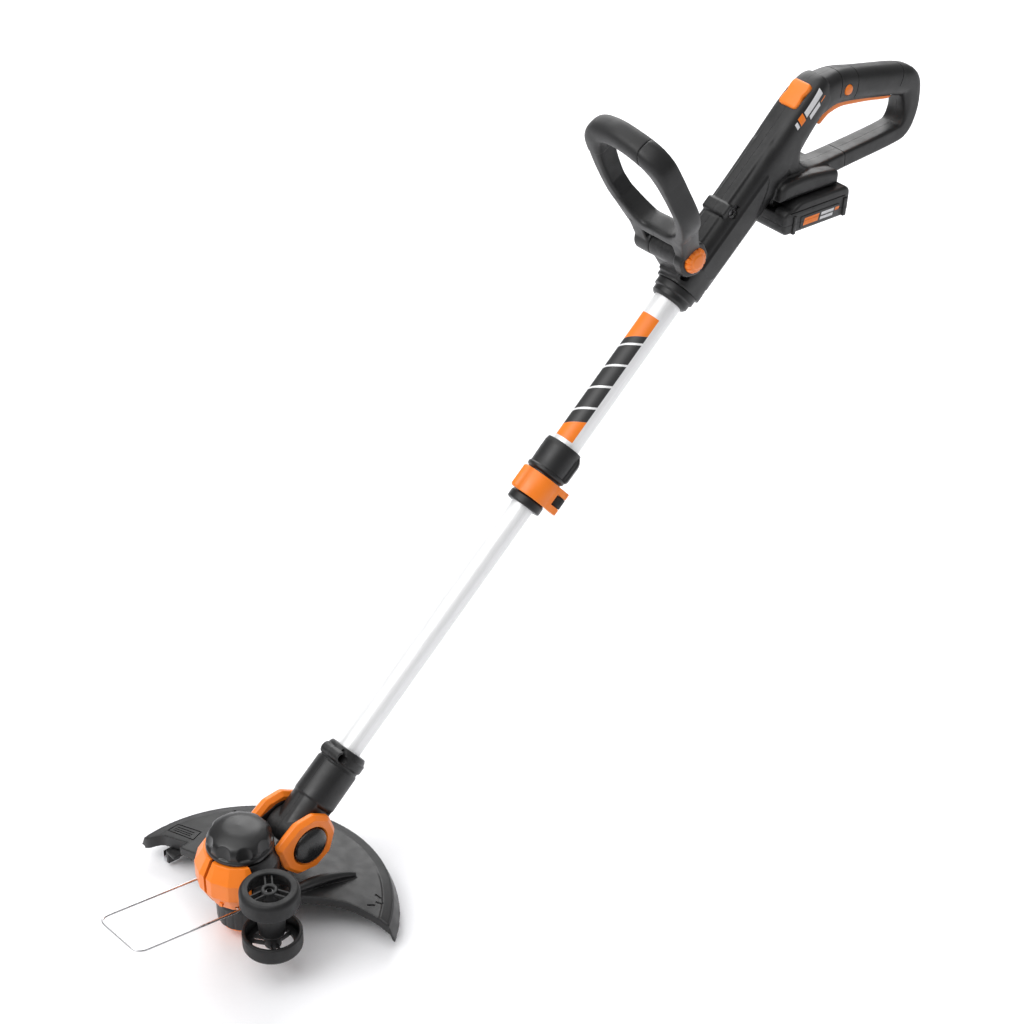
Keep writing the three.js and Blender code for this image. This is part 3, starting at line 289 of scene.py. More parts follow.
def wire(points, radius, where, sides):
    """A round wire through points that lie in one plane."""
    path = [Vector(p) for p in points]
    up = (path[1] - path[0]).cross(path[len(path) // 2] - path[0]).normalized()
    rings = []
    for i, point in enumerate(path):
        ahead = path[min(i + 1, len(path) - 1)] - path[max(i - 1, 0)]
        side = ahead.cross(up).normalized()
        ring = []
        for k in range(sides):
            angle = 2 * math.pi * k / sides
            ring.append(point + side * radius * math.cos(angle) + up * radius * math.sin(angle))
        rings.append(ring)
    return skin(rings, where)


# ---- working on shapes

SIDES = ((1, "left"), (-1, "right"))


def applied(obj):
    """The object with its modifiers worked into its mesh."""
    graph = bpy.context.evaluated_depsgraph_get()
    mesh = bpy.data.meshes.new_from_object(obj.evaluated_get(graph))
    obj.modifiers.clear()
    obj.data = mesh
    return obj


def boolean(obj, operation, tools):
    for tool in tools:
        step = obj.modifiers.new("boolean", "BOOLEAN")
        step.operation = operation
        step.solver = "MANIFOLD"
        step.object = tool
        applied(obj)
        bpy.data.objects.remove(tool)
    return obj


def join(obj, *tools):
    return boolean(obj, "UNION", tools)


def cut(obj, *tools):
    return boolean(obj, "DIFFERENCE", tools)


def common(obj, *tools):
    return boolean(obj, "INTERSECT", tools)


def copied(obj):
    twin = obj.copy()
    twin.data = obj.data.copy()
    bpy.context.scene.collection.objects.link(twin)
    return twin


def melt(obj, voxel, rounds, keep):
    """Runs the joined shapes together as moulded plastic does, with small fillets everywhere."""
    remesh = obj.modifiers.new("remesh", "REMESH")
    remesh.mode = "VOXEL"
    remesh.voxel_size = voxel * MM
    smooth = obj.modifiers.new("smooth", "SMOOTH")
    smooth.factor = 0.5
    smooth.iterations = rounds
    applied(obj)
    fewer = obj.modifiers.new("fewer", "DECIMATE")
    fewer.ratio = keep
    return applied(obj)


def largest(obj):
    """Keeps the biggest loose part, and drops what a cut left over."""
    shape = bmesh.new()
    shape.from_mesh(obj.data)
    shape.verts.ensure_lookup_table()
    seen, groups = set(), []
    for start in shape.verts:
        if start.index in seen:
            continue
        stack, group = [start], []
        seen.add(start.index)
        while stack:
            vertex = stack.pop()
            group.append(vertex)
            for edge in vertex.link_edges:
                other = edge.other_vert(vertex)
                if other.index not in seen:
                    seen.add(other.index)
                    stack.append(other)
        groups.append(group)
    groups.sort(key=len)
    for group in groups[:-1]:
        bmesh.ops.delete(shape, geom=group, context="VERTS")
    shape.to_mesh(obj.data)
    shape.free()
    return obj


def side_span(sign, inner, outer):
    """The limits along X of something between two distances out on one side."""
    return sorted((sign * inner, sign * outer))


def halves(body, y_limits, z_limits, where, gap=0.12, edge=0.0):
    """The left and right part of a body, each with its side's name, and a seam between them."""
    for sign, side in SIDES:
        box = block(*side_span(sign, gap, 60), *y_limits, *z_limits, where, edge)
        yield side, largest(common(copied(body), box))
    bpy.data.objects.remove(body)


def piece(obj, name, body, material, stands_for, sharp=32):
    """Names a finished shape, gives it its material and body, and puts it in a CAD node's place."""
    obj.name = name
    obj.data.name = name
    obj.data.materials.clear()
    obj.data.materials.append(material)
    obj.data.polygons.foreach_set("use_smooth", [True] * len(obj.data.polygons))
    obj.data.set_sharp_from_angle(angle=sharp * DEG)
    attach(obj, body)
    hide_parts(stands_for)


# ---- materials

class Shader:
    """A material's nodes, worked in object coordinates, which are metres in the row frame."""

    def __init__(self, name):
        self.material = bpy.data.materials.new(name)
        self.material.use_nodes = True
        self.tree = self.material.node_tree
        self.shader = self.tree.nodes["Principled BSDF"]
        self.place = self.tree.nodes.new("ShaderNodeTexCoord").outputs["Object"]

    def node(self, kind, inputs, output=0, **settings):
        made = self.tree.nodes.new(kind)
        for name, value in settings.items():
            setattr(made, name, value)
        for key, value in inputs.items():
            if isinstance(value, bpy.types.NodeSocket):
                self.tree.links.new(value, made.inputs[key])
            else:
                made.inputs[key].default_value = value
        return made.outputs[output]

    def noise(self, scale, detail=2.0, stretch=None, turn=(0, 0, 0)):
        place = self.place
        if stretch:
            turned = self.node("ShaderNodeMapping", {"Vector": place, "Rotation": turn})
            place = self.node("ShaderNodeMapping", {"Vector": turned, "Scale": stretch})
        return self.node("ShaderNodeTexNoise", {"Vector": place, "Scale": scale, "Detail": detail})

    def cells(self, scale):
        return self.node("ShaderNodeTexVoronoi", {"Vector": self.place, "Scale": scale})

    def span(self, value, low, high, start=0.35, end=0.65):
        limits = {"Value": value, 1: start, 2: end, 3: low, 4: high}
        return self.node("ShaderNodeMapRange", limits)

    def drift(self, scale, detail, *limits):
        """A noise that drifts between two values."""
        return self.span(self.noise(scale, detail), *limits)

    def math(self, operation, first, second=0.0, third=0.0):
        return self.node("ShaderNodeMath", {0: first, 1: second, 2: third}, operation=operation)

    def along(self, direction, origin):
        """How far a point lies along a direction from an origin, in metres."""
        offset = self.node("ShaderNodeVectorMath", {0: self.place, 1: origin}, operation="SUBTRACT")
        inputs = {0: offset, 1: direction}
        return self.node("ShaderNodeVectorMath", inputs, "Value", operation="DOT_PRODUCT")

    def between(self, value, low, high, soft=0.0001):
        """1 where the value lies between low and high."""
        above = self.node("ShaderNodeMapRange", {"Value": value, 1: low - soft, 2: low + soft})
        below = self.node("ShaderNodeMapRange", {"Value": value, 1: high + soft, 2: high - soft})
        return self.math("MULTIPLY", above, below)

    def mix(self, factor, first, second):
        inputs = {0: factor, 6: first, 7: second}
        return self.node("ShaderNodeMix", inputs, 2, data_type="RGBA")

    def edges(self):
        """1 on convex edges, where handling polishes a moulding and where a painted edge highlight
        is laid.
        """
        pointiness = self.node("ShaderNodeNewGeometry", {}, "Pointiness")
        return self.node("ShaderNodeMapRange", {"Value": pointiness, 1: 0.52, 2: 0.6})

    def bump(self, height, depth, strength=1.0, after=None):
        inputs = {"Height": height, "Distance": depth, "Strength": strength}
        if after:
            inputs["Normal"] = after
        return self.node("ShaderNodeBump", inputs)

    def grain(self, scale, detail, *relief):
        """The relief of a noise."""
        return self.bump(self.noise(scale, detail), *relief)

    def finish(self, colour, roughness, normal=None, **fixed):
        links = {"Base Color": colour, "Roughness": roughness}
        if normal:
            links["Normal"] = normal
        for name, source in links.items():
            self.tree.links.new(source, self.shader.inputs[name])
        for name, value in fixed.items():
            self.shader.inputs[name.replace("_", " ")].default_value = value
        return self.material


def grey(value):
    return (value, value, value * 1.02, 1)


def tinted(colour, factor):
    return (colour[0] * factor, colour[1] * factor, colour[2] * factor, 1)


BLACK = (0.0105, 0.0105, 0.011)
ORANGE = (0.94, 0.22, 0.013)
ORANGE_INK = (*ORANGE, 1)
PALE_INK = grey(0.75)


def moulding(shader, colour, light, edge_wear_and_highlight, wear_and_highlight_strength=0.5):
    """A moulding's colour: cloudy pigment, fine specks, and convex edges lightened, partly as wear
    and partly as a painted highlight.
    """
    cloud = shader.drift(28, 3, 0, 1)
    base = shader.mix(cloud, tinted(colour, 1 - light), tinted(colour, 1 + light))
    speck = shader.drift(1900, 1, 0, 0.35, 0.58, 0.72)
    base = shader.mix(speck, base, tinted(colour, 1 + 2 * light))
    wear_and_highlight_patch = shader.drift(160, 3, 0, wear_and_highlight_strength, 0.42, 0.62)
    # convex edges lightened in patches: partly wear, partly a painted highlight where rounded edges
    # would catch the light
    edge = shader.math("MULTIPLY", shader.edges(), wear_and_highlight_patch)
    return shader.mix(edge, base, edge_wear_and_highlight)


def black_plastic(name, marks=None):
    shader = Shader(name)
    # grey(0.07) is the edge colour: wear and a painted edge highlight
    colour = moulding(shader, BLACK, 0.2, grey(0.07))
    rough = shader.drift(70, 4, 0.36, 0.47)
    if marks:
        colour, rough = marks(shader, colour, rough)
    grain = shader.grain(1500, 2, 0.00006, 0.8)
    normal = shader.grain(90, 1, 0.0002, 0.15, grain)
    return shader.finish(colour, rough, normal, Specular_IOR_Level=0.5, IOR=1.49)


def polished_black(name, low, high):
    shader = Shader(name)
    # grey(0.05) is the edge colour: wear and a painted edge highlight
    colour = moulding(shader, BLACK, 0.15, grey(0.05), 0.3)
    rough = shader.drift(60, 4, low, high)
    flow = shader.grain(70, 1, 0.0003, 0.2)
    return shader.finish(colour, rough, flow, Specular_IOR_Level=0.5, IOR=1.5)


def soft_grip():
    shader = Shader("soft grip")
    # grey(0.04) is the edge colour: wear and a painted edge highlight
    colour = moulding(shader, (0.012, 0.012, 0.0125), 0.15, grey(0.04), 0.4)
    rough = shader.drift(50, 4, 0.46, 0.58)
    pits = shader.bump(shader.cells(900), 0.0001, 0.5)
    return shader.finish(colour, rough, pits, Specular_IOR_Level=0.45, Sheen_Weight=0.05,
                         Sheen_Roughness=0.5)


def orange_plastic():
    shader = Shader("orange plastic")
    # the pale orange is the edge colour: wear and a painted edge highlight
    colour = moulding(shader, ORANGE, 0.03, (1.0, 0.36, 0.1, 1), 0.3)
    rough = shader.drift(60, 4, 0.3, 0.4)
    skin = shader.grain(700, 2, 0.00004, 0.5)
    flow = shader.grain(45, 1, 0.0003, 0.15, skin)
    return shader.finish(colour, rough, flow, Specular_IOR_Level=0.5, IOR=1.5)


METAL_SHARE = 0.25
DECAL = {
    "low": 547, "high": 699, "first_bar": 566, "last_bar": 672, "turn": -27 * DEG,
    "half_turn": 43 * DEG, "slant": 9.0, "pitch": 13.25, "gap": 1.3, "soft": 0.15,
}


def printed_band(shader, colour, rough):
    """The tube's printed band: slanted black bars between two orange blocks."""
    axis_point = SHAFT @ Vector((0, 0, 0))
    to_camera = (CAMERA_AT - axis_point).normalized()
    side = UP_SHAFT.cross(to_camera).normalized()
    front = side.cross(UP_SHAFT).normalized()
    centre = front * math.cos(DECAL["turn"]) + side * math.sin(DECAL["turn"])
    edge = UP_SHAFT.cross(centre)
    station = shader.math("DIVIDE", shader.along(UP_SHAFT, axis_point), MM)
    out = shader.along(centre, axis_point)
    across = shader.math("ARCTAN2", shader.along(edge, axis_point), out)
    inside = shader.between(across, -DECAL["half_turn"], DECAL["half_turn"], 0.01)
    slanted = shader.math("MULTIPLY_ADD", across, -DECAL["slant"], station)
    band = shader.between(station, DECAL["low"], DECAL["high"], DECAL["soft"])
    middle = shader.between(slanted, DECAL["first_bar"], DECAL["last_bar"], DECAL["soft"])
    gaps = shader.math("LESS_THAN", shader.math("PINGPONG", slanted, DECAL["pitch"]), DECAL["gap"])
    bars = shader.math("MULTIPLY", middle, shader.math("SUBTRACT", 1.0, gaps))
    orange_part = shader.math("MULTIPLY", band, shader.math("SUBTRACT", 1.0, middle))
    orange_ink = shader.math("MULTIPLY", inside, orange_part)
    black_ink = shader.math("MULTIPLY", inside, bars)
    inked = shader.mix(orange_ink, colour, ORANGE_INK)
    inked = shader.mix(black_ink, inked, grey(0.03))
    ink = shader.math("MAXIMUM", orange_ink, black_ink)
    shade = shader.node("ShaderNodeMapRange", {"Value": ink, 3: METAL_SHARE, 4: 0.0})
    shader.tree.links.new(shade, shader.shader.inputs["Metallic"])
    return inked, shader.node("ShaderNodeMix", {0: ink, 2: rough, 3: 0.4})


def brushed_aluminium(name, marks=None):
    shader = Shader(name)
    streak = shader.noise(1400, 3, (1.0, 1.0, 0.02), (SHAFT_LEAN, 0, 0))
    colour = shader.mix(shader.span(streak, 0, 1), (0.88, 0.885, 0.89, 1), (0.97, 0.97, 0.975, 1))
    colour = shader.mix(shader.drift(22, 2, 0, 0.35), colour, (0.92, 0.925, 0.93, 1))
    rough = shader.span(streak, 0.3, 0.4)
    shader.shader.inputs["Metallic"].default_value = METAL_SHARE
    if marks:
        colour, rough = marks(shader, colour, rough)
    return shader.finish(colour, rough, shader.bump(streak, 0.00002, 0.35))


def steel(name, tone, rough):
    shader = Shader(name)
    scratches = shader.noise(900, 3, (1.0, 1.0, 0.1))
    colour = shader.mix(shader.span(scratches, 0, 1), grey(tone * 0.85), grey(tone * 1.1))
    polish = shader.drift(120, 3, rough * 0.85, rough * 1.25)
    return shader.finish(colour, polish, shader.bump(scratches, 0.00002, 0.4), Metallic=1.0)


def tyre():
    shader = Shader("tyre")
    # grey(0.04) is the edge colour: wear and a painted edge highlight
    colour = moulding(shader, (0.0075, 0.0075, 0.008), 0.2, grey(0.04), 0.5)
    dust = shader.drift(240, 4, 0, 0.2, 0.5, 0.72)
    colour = shader.mix(dust, colour, grey(0.022))
    rough = shader.drift(80, 4, 0.46, 0.58)
    grain = shader.grain(1100, 2, 0.00008, 0.8)
    return shader.finish(colour, rough, grain, Specular_IOR_Level=0.35)


def circuit_board():
    shader = Shader("circuit board")
    lines = shader.node("ShaderNodeTexBrick", {"Vector": shader.place, "Scale": 160.0}, 1)
    colour = shader.mix(lines, (0.006, 0.09, 0.03, 1), (0.02, 0.2, 0.07, 1))
    rough = shader.drift(200, 2, 0.3, 0.45)
    return shader.finish(colour, rough, shader.bump(lines, 0.00005, 0.5))


def cell():
    shader = Shader("cell wrap")
    cloud = shader.drift(40, 3, 0, 1)
    colour = shader.mix(cloud, (0.02, 0.11, 0.26, 1), (0.04, 0.18, 0.36, 1))
    rough = shader.drift(90, 3, 0.25, 0.4)
    return shader.finish(colour, rough, shader.grain(300, 2, 0.00005, 0.4))


def copper():
    shader = Shader("copper")
    wires = shader.noise(1200, 1, (0.1, 1.0, 1.0))
    colour = shader.mix(shader.span(wires, 0, 1), (0.42, 0.13, 0.05, 1), (0.78, 0.32, 0.16, 1))
    rough = shader.drift(150, 3, 0.28, 0.42)
    return shader.finish(colour, rough, shader.bump(wires, 0.0001, 0.6), Metallic=1.0)


def nylon():
    shader = Shader("nylon")
    cloud = shader.drift(60, 3, 0, 1)
    colour = shader.mix(cloud, (0.6, 0.6, 0.55, 1), (0.72, 0.72, 0.68, 1))
    rough = shader.drift(90, 3, 0.4, 0.55)
    return shader.finish(colour, rough, shader.grain(800, 2, 0.00004, 0.5))


def line():
    shader = Shader("cutting line")
    inputs = {"Vector": shader.place, "Scale": 90.0, "Distortion": 1.5}
    turns = shader.node("ShaderNodeTexWave", inputs, 1, bands_direction="Z")
    colour = shader.mix(turns, (0.55, 0.09, 0.01, 1), (0.95, 0.26, 0.03, 1))
    rough = shader.drift(200, 2, 0.3, 0.42)
    return shader.finish(colour, rough, shader.bump(turns, 0.0006, 0.8))


def slanted_bars(shader, colour, origin, ahead, bars, slant, out):
    """Paints bars of (ink, start, length, low, high) in mm, on the side past a distance out."""
    up = TO_LEFT.cross(ahead).normalized()
    distance = shader.math("DIVIDE", shader.along(ahead, origin), MM)
    height = shader.math("DIVIDE", shader.along(up, origin), MM)
    leaning = shader.math("MULTIPLY_ADD", height, -slant, distance)
    near = shader.math("GREATER_THAN", shader.along(TO_LEFT, origin), out * MM)
    for ink, start, length, low, high in bars:
        inside = shader.between(leaning, start, start + length, 0.12)
        rows = shader.between(height, low, high, 0.12)
        mask = shader.math("MULTIPLY", near, shader.math("MULTIPLY", inside, rows))
        colour = shader.mix(mask, colour, ink)
    return colour


def side_mark(shader, colour, rough):
    """A small row of slanted bars where the real thing has lettering."""
    bars = [
        (PALE_INK, 0, 4, 2, 8), (ORANGE_INK, 6, 8, 1, 9), (PALE_INK, 16, 30, 2, 8),
        (PALE_INK, 20, 18, -5, 0), (ORANGE_INK, 40, 8, -3.4, -2.2),
    ]
    origin = LAYOUT @ on_shaft(936, 13.5)
    return slanted_bars(shader, colour, origin, UP_SHAFT, bars, 0.3, 10), rough


def battery_mark(shader, colour, rough):
    """Plain label bars on the battery's side."""
    bars = [
        (ORANGE_INK, 0, 22, 0, 8), (PALE_INK, 25, 19, 4.6, 8), (PALE_INK, 25, 19, 0, 3.2),
        (ORANGE_INK, 46, 6, 4.6, 8),
    ]
    origin = BATTERY @ Vector((0, 28, 6))
    return slanted_bars(shader, colour, origin, BACK_BATTERY, bars, 0.25, 37), rough


PLASTIC = black_plastic("black plastic")
HOUSING_PLASTIC = black_plastic("black plastic with side mark", side_mark)
BATTERY_PLASTIC = black_plastic("black plastic with label bars", battery_mark)
POLISHED = polished_black("polished black", 0.2, 0.3)
SATIN = polished_black("satin black", 0.3, 0.4)
SOFT = soft_grip()
GLOSS = orange_plastic()
TUBE = brushed_aluminium("brushed aluminium")
PRINTED_TUBE = brushed_aluminium("brushed aluminium with printed band", printed_band)
STEEL = steel("steel", 0.62, 0.26)
DARK_STEEL = steel("dark steel", 0.12, 0.3)
WIRE_STEEL = steel("wire steel", 0.6, 0.26)
BRIGHT_STEEL = steel("bright steel", 0.85, 0.14)
TYRE = tyre()
BOARD = circuit_board()
CELL = cell()
COPPER = copper()
NYLON = nylon()
LINE = line()


# ---- rear handle housing

WALL = 2.8
TUBE_R = 15.5
LOWER_TUBE_R = 12.5
GAP = 0.3

BARREL = [
    (739, 0, 24.5, 21), (800, 0, 25, 21), (860, 0, 25.5, 21), (905, 1, 26, 21),
    (925, 5, 22, 21), (960, 8, 20, 20.5), (986, 6, 19, 19), (994, 4, 15, 15),
]
HANDLE = [
    (753, 600, 16, 20.5, 3), (774, 610.4, 19.5, 19, 3), (800, 613.3, 19, 17.5, 2.8),
    (832, 606, 18, 16.5, 2.5), (865, 597.2, 17.8, 16, 2.5), (897, 588, 17.5, 16, 2.6),
    (914.7, 579.5, 16, 15.5, 3), (918.7, 562, 12.5, 15, 4), (917, 545, 10.5, 14.5, 5),
    (908, 530, 10, 14, 6), (890, 526, 9.5, 13.5, 7), (820, 526, 9.5, 13.5, 7),
    (775, 527, 10, 15, 6), (750, 532, 12, 18, 5), (733, 551, 12, 20.5, 4), (736, 576, 12, 21, 3.2),
]
FOOT = {"from": 1, "to": 87, "half": 30, "bottom": 33.6, "top": 56}
RAIL = {"from": 36, "to": 84, "neck": 16.5, "flange": 21.5, "low": 22.5, "step": 26}
SCREW_STATIONS = [(752, -18.6), (829, 19)]
KEYHOLES = [(749, 22), (829, 19)]
SEAM_WIDTH = 0.9
SEAM_DEPTH = 0.55
LOOP_SEAMS = [
    (803, 630, -0.2, 24), (829, 622, -0.25, 26), (900, 600, -0.5, 16), (816, 526, 0.0, 16),
]
BOSS_SPAN = (-17.5, 20.5)
LOCK_OFF = (811, 611, 6)
FEED = {"from": 951, "to": 981.5, "half": 12, "up": 21, "top": 30.4}
TRIGGER_ROOM = [
    (775.6, 565), (775.6, 590), (781, 600), (790, 606), (812, 605), (850, 594.2),
    (880, 589.4), (891.4, 586.6), (891.4, 565),
]
ABOVE_SHAFT = placed(point_of("loop_handle_tilt"), math.pi / 2 - SHAFT_LEAN)


def barrel(grow=0.0):
    """The housing's body round the tube or, where grow is negative, its hollow."""
    hollow = grow < 0
    stations = []
    for i, (at, up, tall, wide) in enumerate(BARREL):
        at += 5 if hollow and i == 0 else 0
        at -= 2.5 if hollow and i == len(BARREL) - 1 else 0
        centre = on_shaft(at, up)
        stations.append((centre.y, centre.z, tall, wide, 3.2))
    return bar(stations, "yz", LAYOUT, grow=grow, sides=28 if hollow else 64)


def handle_loop(grow=0.0):
    """The closed hand loop under the barrel, grown or shrunk all round."""
    return bar(HANDLE, "yz", LAYOUT, closed=True, grow=grow, sides=28 if grow < 0 else 56)


def foot(inset=0.0):
    """The block behind the hand loop that the battery slides under."""
    low, high, top = FOOT["from"] + inset, FOOT["to"] - inset, FOOT["top"] - inset
    corners = [
        (low, FOOT["bottom"] + inset), (high, FOOT["bottom"] + inset), (high, top - 6, 6),
        (FOOT["from"] + 36, top, 14), (low, top - 3, 10),
    ]
    half = FOOT["half"] - inset
    return plate(corners, -half, half, BATTERY, 0 if inset else 5)


def on_spine(x_half, start, end, low, high, edge):
    """A pad over the crest of the barrel, between two stations and two heights."""
    corners = [(-high, start + 2, 2), (-low, start), (-low, end), (-high, end - 2, 2)]
    return plate(corners, -x_half, x_half, SHAFT, edge)


def side_panel(sign):
    """The long raised facet on the side of the barrel."""
    corners = [(-12, 764, 5), (13, 764, 5), (14, 838, 8), (0, 872, 8), (-12, 884, 5)]
    return plate(corners, *side_span(sign, 18, 22), SHAFT, 1.2)


def seam(y, z, lean, reach):
    """A groove in the hand loop's skin: a thin leaning slice through a point in side view."""
    ahead = Vector((math.cos(lean), math.sin(lean))) * SEAM_WIDTH / 2
    up = Vector((-math.sin(lean), math.cos(lean))) * reach
    middle = Vector((y, z))
    points = (middle - ahead - up, middle + ahead - up, middle + ahead + up, middle - ahead + up)
    outer = cut(handle_loop(0.8), handle_loop(-SEAM_DEPTH))
    return common(outer, plate([tuple(point) for point in points], -40, 40, LAYOUT, 0))


def feed_body(grow, low, high, edge):
    """The feed button's waisted pad, or the room for it, between two heights over the shaft."""
    half, start, end = FEED["half"] + grow, FEED["from"] - grow, FEED["to"] + grow
    waist = 0.0 if grow else 1.6
    middle = (start + end) / 2
    corners = [
        (-half, start, 6), (half, start, 6), (half, middle - 5, 3), (half - waist, middle, 4),
        (half, middle + 5, 3), (half, end, 6), (-half, end, 6), (-half, middle + 5, 3),
        (-half + waist, middle, 4), (-half, middle - 5, 3),
    ]
    return plate(corners, low, high, SHAFT, edge, "xz")


def housing_form():
    """The housing's outer form, run together as one moulding."""
    boss = rod(15, *BOSS_SPAN, at_pivot(LOOP_PIVOT), 72, 1.0)
    saddle = plate([(-17, -26), (17, -26), (12, 8, 4), (-12, 8, 4)], *BOSS_SPAN, ABOVE_SHAFT, 1.0)
    pads = [
        on_spine(15.5, 818, 836, 16, 28.4, 2.0), on_spine(14, 741, 757, 16, 29, 2.0),
        on_spine(10.5, 830, 940, 18, 26.9, 2.2), on_spine(10.5, 772, 820, 18, 26.0, 2.2),
    ]
    panels = [side_panel(1), side_panel(-1)]
    outer = join(barrel(), handle_loop(), foot(), boss, saddle, *panels, *pads)
    return melt(outer, 1.0, 3, 0.3)


def housing_hollow():
    """The room inside the shells, without the ribs and the screw posts."""
    hollow = join(barrel(-WALL), handle_loop(-WALL), foot(WALL))
    ribs = [common(rod(27, at, at + 5, SHAFT, 32), barrel(-WALL + 0.6)) for at in (745, 792, 856)]
    posts = [rod(4.5, -19, 19, beside(at, up), 24) for at, up in SCREW_STATIONS]
    return cut(hollow, *ribs, *posts)


def battery_rail():
    """The flange that the battery slides onto, and the web above it."""
    half, neck, step = RAIL["flange"], RAIL["neck"], RAIL["step"]
    flange = block(-half, half, RAIL["from"], RAIL["to"], RAIL["low"], step, BATTERY, 0.5)
    web = block(-neck, neck, RAIL["from"], RAIL["to"], step - 1, FOOT["bottom"] + 1, BATTERY)
    return flange, web


def open_housing(body):
    """Cuts the bores, screw wells, keyholes, rooms for the controls, and seams."""
    cut(body, rod(TUBE_R + GAP, 730, 853, SHAFT, 64))
    cut(body, rod(4.4, -30, 30, at_pivot(LOOP_PIVOT), 32))
    for at, up in SCREW_STATIONS:
        cut(body, rod(2, -14, 30, beside(at, up), 24), rod(4.3, 12, 30, beside(at, up), 32))
    for at, up in KEYHOLES:
        cut(body, rod(5.2, 10.5, 30, beside(at, up), 40))
        cut(body, block(12, 30, -up - 1.8, -up + 1.8, at, at + 9.5, SHAFT))
    y, z, radius = LOCK_OFF
    cut(body, rod(radius + GAP, 3.5, 30, sideways(LAYOUT, y, z), 40))
    cut(body, feed_body(GAP, -40, -FEED["up"] + 3 + GAP, 0))
    cut(body, plate(TRIGGER_ROOM, -8.1, 8.1, LAYOUT, 0))
    cut(body, rod(2.6, -12.3, 12.3, at_pivot(TRIGGER_PIVOT), 24))
    cut(body, block(-15, 15, 5, 33, 30, 38, BATTERY))
    for y, z, lean, reach in LOOP_SEAMS:
        cut(body, seam(y, z, lean, reach))


def build_housing():
    body = cut(housing_form(), housing_hollow())
    join(body, *battery_rail())
    open_housing(body)
    for side, half in halves(body, (500, 1000), (350, 700), LAYOUT):
        piece(half, f"{side}_housing", "rear_handle", HOUSING_PLASTIC, f"housing_{side}_shell")


def build_collar():
    profile = [
        (TUBE_R + GAP, 722, 0.3), (18, 722), (20.5, 725), (20.5, 730), (22.5, 731.5),
        (22.5, 738.7), (TUBE_R + GAP, 738.7, 0.2),
    ]
    ring = lathe(profile, SHAFT, 96, 0.7)
    piece(ring, "collar", "rear_handle", PLASTIC, "tube_collar")


def build_feed_button():
    button = feed_body(0, -FEED["top"], -FEED["up"], 2.2)
    piece(button, "feed_pad", "feed_button", GLOSS, "feed_button")


def build_trigger():
    side = [
        (777, 582, 2.5), (781, 577.5, 2.5), (793, 585.5, 5), (812, 588, 8), (850, 580, 8),
        (884, 571, 2), (890, 571.5, 2), (889, 584, 3), (879, 587, 3), (850, 590, 6),
        (812, 598, 6), (790, 598, 3),
    ]
    body = plate(side, -7.5, 7.5, LAYOUT, 2.0, curve=5)
    pivot = at_pivot(TRIGGER_PIVOT)
    cut(body, rod(2.6, -9, 9, pivot, 32), rod(5.6, -3.4, 3.4, pivot, 32))
    piece(body, "trigger_lever", "trigger", GLOSS, "trigger")


def build_lock_off_button():
    y, z, radius = LOCK_OFF
    dome = [(0, -6, 0), (3.2, -6), (3.2, 7), (radius, 7), (radius, 16.4), (5, 18.4), (0, 19, 0)]
    knob = lathe(dome, sideways(LAYOUT, y, z), 56, 0.8)
    piece(knob, "lock_off_knob", "lock_off_button", GLOSS, "lock_off_button")


# ---- battery

PACK = {"long": 97, "half": 38, "tall": 33, "floor": 22, "split": (10.8, 11.2)}


def build_battery_case():
    long, half, tall, floor = PACK["long"], PACK["half"], PACK["tall"], PACK["floor"]
    side = [
        (0, 4, 3), (4, 0, 3), (long - 5, 0, 4), (long, 5, 4), (long, tall - 5, 4),
        (long - 5, tall, 4), (24, tall, 6), (12, 26.5, 5), (4, 26.5, 3), (0, 22.5, 3),
    ]
    whole = plate(side, -half, half, BATTERY, 3.0)
    for sign in (-1, 1):
        for start, end, low, high in ((13, 17, -0.5, 20), (88, 93, 0.5, 21)):
            ridge = [(start, low, 1), (end, low, 1), (end, high, 1), (start, high, 1)]
            join(whole, plate(ridge, *side_span(sign, half - 3, half + 1.6), BATTERY, 0.8))
        label = [(24, 3.5, 1.5), (82, 3.5, 1.5), (82, 17, 1.5), (24, 17, 1.5)]
        join(whole, plate(label, *side_span(sign, half - 3, half + 0.7), BATTERY, 0.5))
        groove = [(8, 24.4), (90, 24.4), (90, 23.2), (8, 23.2)]
        cut(whole, plate(groove, *side_span(sign, half - 1.4, half + 4), BATTERY, 0))
    slot = block(-22.3, 22.3, -5, RAIL["to"] + 3, floor, floor + 5, BATTERY)
    mouth = block(-17.3, 17.3, -5, RAIL["to"] + 3, floor + 4, tall + 5, BATTERY)
    cells = block(3 - half, half - 3, 2.4, long - 2.4, 1.8, floor - 1.8, BATTERY)
    latch = block(-15.5, 15.5, 89.5, long + 5, 20.6, tall + 5, BATTERY)
    cut(whole, slot, mouth, cells, latch)
    top_of_lower, foot_of_upper = PACK["split"]
    lower = common(copied(whole), block(-50, 50, -5, 110, -4, top_of_lower, BATTERY))
    upper = common(whole, block(-50, 50, -5, 110, foot_of_upper, 50, BATTERY))
    piece(largest(lower), "pack_base", "battery", BATTERY_PLASTIC, "battery_lower_case")
    piece(largest(upper), "pack_top", "battery", BATTERY_PLASTIC, "battery_upper_case")


def build_terminals():
    floor = PACK["floor"]
    base = block(-14, 14, 6, 17, floor + 0.6, 36.6, BATTERY, 0.6)
    piece(base, "contact_base", "rear_handle", PLASTIC, "terminal_block")
    blades = []
    for x in (-9, -3, 3, 9):
        blades.append(block(x - 0.5, x + 0.5, 16.5, 30, floor + 1.5, floor + 7, BATTERY, 0.1))
    piece(join(*blades), "contact_blades", "rear_handle", COPPER, "terminal_block")


